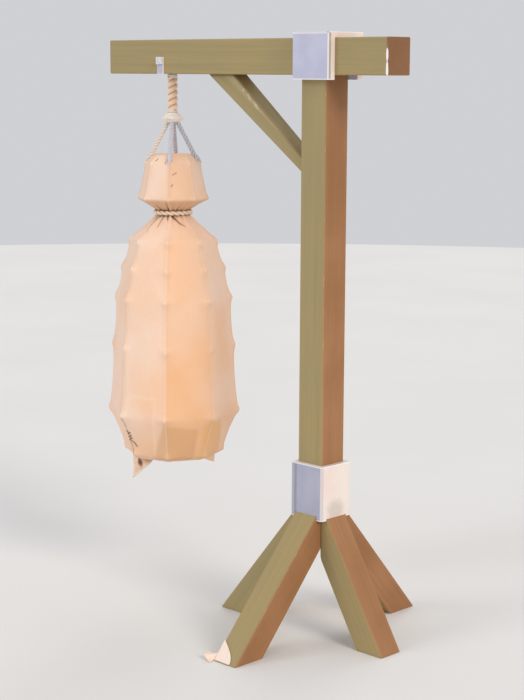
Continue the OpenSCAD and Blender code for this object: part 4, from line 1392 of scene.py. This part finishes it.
class PUNCHBAG_OT_foot_cloth(bpy.types.Operator):
    """Wraps the scrap of cloth round the front foot, with its curled end"""

    bl_idname = "punchbag.foot_cloth"
    bl_label = "Scrap on the Foot"

    def execute(self, context):
        look = canvas("pale scrap", (0.95, 0.78, 0.72))
        low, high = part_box("leg_front")
        middle = (low.x + high.x) / 2
        half = (high.x - low.x) / 2
        side = middle - half - 0.0012
        slope = (abs(low.y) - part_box("post")[1].y) / high.z
        rows = []
        for n in range(23):
            share = n / 22
            z = 0.004 + 0.062 * n / 22
            right = middle - half + 0.002 + 0.075 * math.cos(share * math.pi / 2)
            face = low.y + slope * z
            rows.append([])
            for m in range(30):
                u = m / 29
                if u < 0.2:
                    rows[-1].append((side, face + 0.016 * (1 - u / 0.2) ** 1.2 + 0.001, z))
                else:
                    x = side + (right - middle + half) * (u - 0.2) / 0.8
                    lift = 0.0012 + 0.0014 * (1 + noise.noise(Vector((x * 40, z * 50, 2))))
                    rows[-1].append((x, face - lift, z))
        wrap = scrap("foot_cloth", rows, 0.3, 0.35, look)
        ride_for(wrap, "stand", "pale_cloth", "foot_wrap")
        self.curl_tail(middle, look)
        return {"FINISHED"}

    def curl_tail(self, middle, look):
        """The loose end: a lip that curls up and a point that hangs to the floor."""
        rows = []
        for n in range(15):
            rows.append([])
            for m in range(24):
                place = through([through(edge, m / 23) for edge in TAIL_EDGES], n / 14)
                rows[-1].append((middle + place.x / 1000, place.y / 1000, max(0.0012, place.z / 1000)))
        tail = scrap("foot_cloth_end", rows, 0.15, 0.3, look)
        heights = [v.co.z for v in tail.data.vertices]
        # Darker above 15 mm up the curl, and yellower near the floor.
        mark(tail.data, "stain", [0.2 * clamped((z - 0.015) / 0.01) for z in heights])
        mark(tail.data, "ochre", [0.35 * clamped((0.02 - z) / 0.01) for z in heights])
        ride_for(tail, "stand", "pale_cloth", "foot_wrap_tail")


# ---------------------------------------------------------------- stage


# The camera's place in metres, and its azimuth, pitch and roll in degrees
CAMERA_PLACE = (4.4328, -4.4230, 2.0940)
CAMERA_TURNS = (44.626, 9.584, 0.272)


class PUNCHBAG_OT_stage(bpy.types.Operator):
    """Sets up the camera, the pale floor and the soft studio light"""

    bl_idname = "punchbag.stage"
    bl_label = "Stage"

    def execute(self, context):
        looks = context.scene.stage_looks
        self.place_camera(context.scene, looks)
        self.lay_floor(looks)
        self.hang_lights(context.scene, looks)
        return {"FINISHED"}

    def place_camera(self, scene, looks):
        """A long lens at head height, looking across the front corner."""
        azimuth, pitch, roll = (math.radians(degrees) for degrees in CAMERA_TURNS)
        far = math.cos(pitch)
        back = Vector((math.sin(azimuth) * far, -math.cos(azimuth) * far, math.sin(pitch)))
        level = Vector((math.cos(azimuth), math.sin(azimuth), 0))
        lift = back.cross(level)
        right = math.cos(roll) * level + math.sin(roll) * lift
        up = math.cos(roll) * lift - math.sin(roll) * level
        data = bpy.data.cameras.new("camera")
        data.lens = looks.lens
        camera = bpy.data.objects.new("camera", data)
        scene.collection.objects.link(camera)
        turn = Matrix((right, up, back)).transposed().to_4x4()
        camera.matrix_world = Matrix.Translation(CAMERA_PLACE) @ turn
        scene.camera = camera

    def lay_floor(self, looks):
        data = bpy.data.meshes.new("floor")
        work = bmesh.new()
        bmesh.ops.create_circle(work, cap_ends=True, segments=96, radius=looks.radius)
        work.to_mesh(data)
        work.free()
        floor = mesh_object("floor", data)
        g, shader, made = material("pale floor")
        cloud = g.spread(g.noise(g.place(), 0.8, 3.0), 0.35, 0.65)
        base = g.mix(cloud, looks.floor, tuple(0.97 * c for c in looks.floor))
        finish(g, shader, base, 0.85, g.noise(g.place(), 40, 3.0), 0.0005, 0.2)
        only_material(floor, made)

    def hang_lights(self, scene, looks):
        world = bpy.data.worlds.new("studio")
        world.use_nodes = True
        sky = world.node_tree.nodes["Background"]
        sky.inputs["Color"].default_value = (0.95, 0.96, 1.0, 1)
        sky.inputs["Strength"].default_value = looks.sky
        scene.world = world
        scene.view_settings.view_transform = "Standard"
        scene.view_settings.look = "None"
        lamps = (
            ("warm key", (5.2, -0.8, 3.0), looks.key, (1.0, 0.93, 0.84)),
            ("cool fill", (-2.2, -5.0, 2.6), looks.fill, (0.93, 0.96, 1.0)),
            ("back rim", (-2.5, 4.0, 3.8), 0.5 * looks.fill, (1.0, 0.98, 0.95)),
        )
        for name, place, strength, tint in lamps:
            data = bpy.data.lights.new(name, "SUN")
            data.energy = strength
            data.angle = math.radians(24)
            data.color = tint
            lamp = bpy.data.objects.new(name, data)
            scene.collection.objects.link(lamp)
            lamp.location = place
            lamp.rotation_euler = (-Vector(place)).to_track_quat("-Z", "Y").to_euler()


# ---------------------------------------------------------------- panel and running


class PUNCHBAG_PT_panel(bpy.types.Panel):
    """Lists the steps that build the punching bag and its stand"""

    bl_idname = "PUNCHBAG_PT_panel"
    bl_label = "Punching Bag"
    bl_space_type = "VIEW_3D"
    bl_region_type = "UI"
    bl_category = "Punching Bag"

    def draw(self, context):
        layout = self.layout
        for step in STEPS:
            layout.operator(step.bl_idname)
        for name in LOOKS:
            box = layout.box()
            box.label(text=name.replace("_", " ").capitalize())
            looks = getattr(context.scene, name)
            for key in looks.__annotations__:
                box.prop(looks, key)


STEPS = (
    PUNCHBAG_OT_stage, PUNCHBAG_OT_timbers, PUNCHBAG_OT_iron, PUNCHBAG_OT_rope, PUNCHBAG_OT_cords,
    PUNCHBAG_OT_bag, PUNCHBAG_OT_seams, PUNCHBAG_OT_darning, PUNCHBAG_OT_ears, PUNCHBAG_OT_foot_cloth,
)
LOOKS = {
    "timber_looks": TimberLooks,
    "iron_looks": IronLooks,
    "rope_looks": RopeLooks,
    "bag_looks": BagLooks,
    "stage_looks": StageLooks,
}


def register():
    for looks in LOOKS.values():
        bpy.utils.register_class(looks)
    for step in STEPS:
        bpy.utils.register_class(step)
    bpy.utils.register_class(PUNCHBAG_PT_panel)
    for name, looks in LOOKS.items():
        setattr(bpy.types.Scene, name, PointerProperty(type=looks))


def unregister():
    for name in LOOKS:
        delattr(bpy.types.Scene, name)
    bpy.utils.unregister_class(PUNCHBAG_PT_panel)
    for step in reversed(STEPS):
        bpy.utils.unregister_class(step)
    for looks in LOOKS.values():
        bpy.utils.unregister_class(looks)


def main():
    """Builds every piece in order."""
    register()
    for make in (make_timber_grain, make_edge_wear, make_painted_side_light, make_soft_spot, make_weave,
                 make_yarn, make_laid_strands, make_running_stitches):
        make()
    bpy.ops.punchbag.stage()
    bpy.ops.punchbag.timbers()
    bpy.ops.punchbag.iron()
    bpy.ops.punchbag.rope()
    bpy.ops.punchbag.cords()
    bpy.ops.punchbag.bag()
    bpy.ops.punchbag.seams()
    bpy.ops.punchbag.darning()
    bpy.ops.punchbag.ears()
    bpy.ops.punchbag.foot_cloth()


if __name__ == "__main__":
    main()
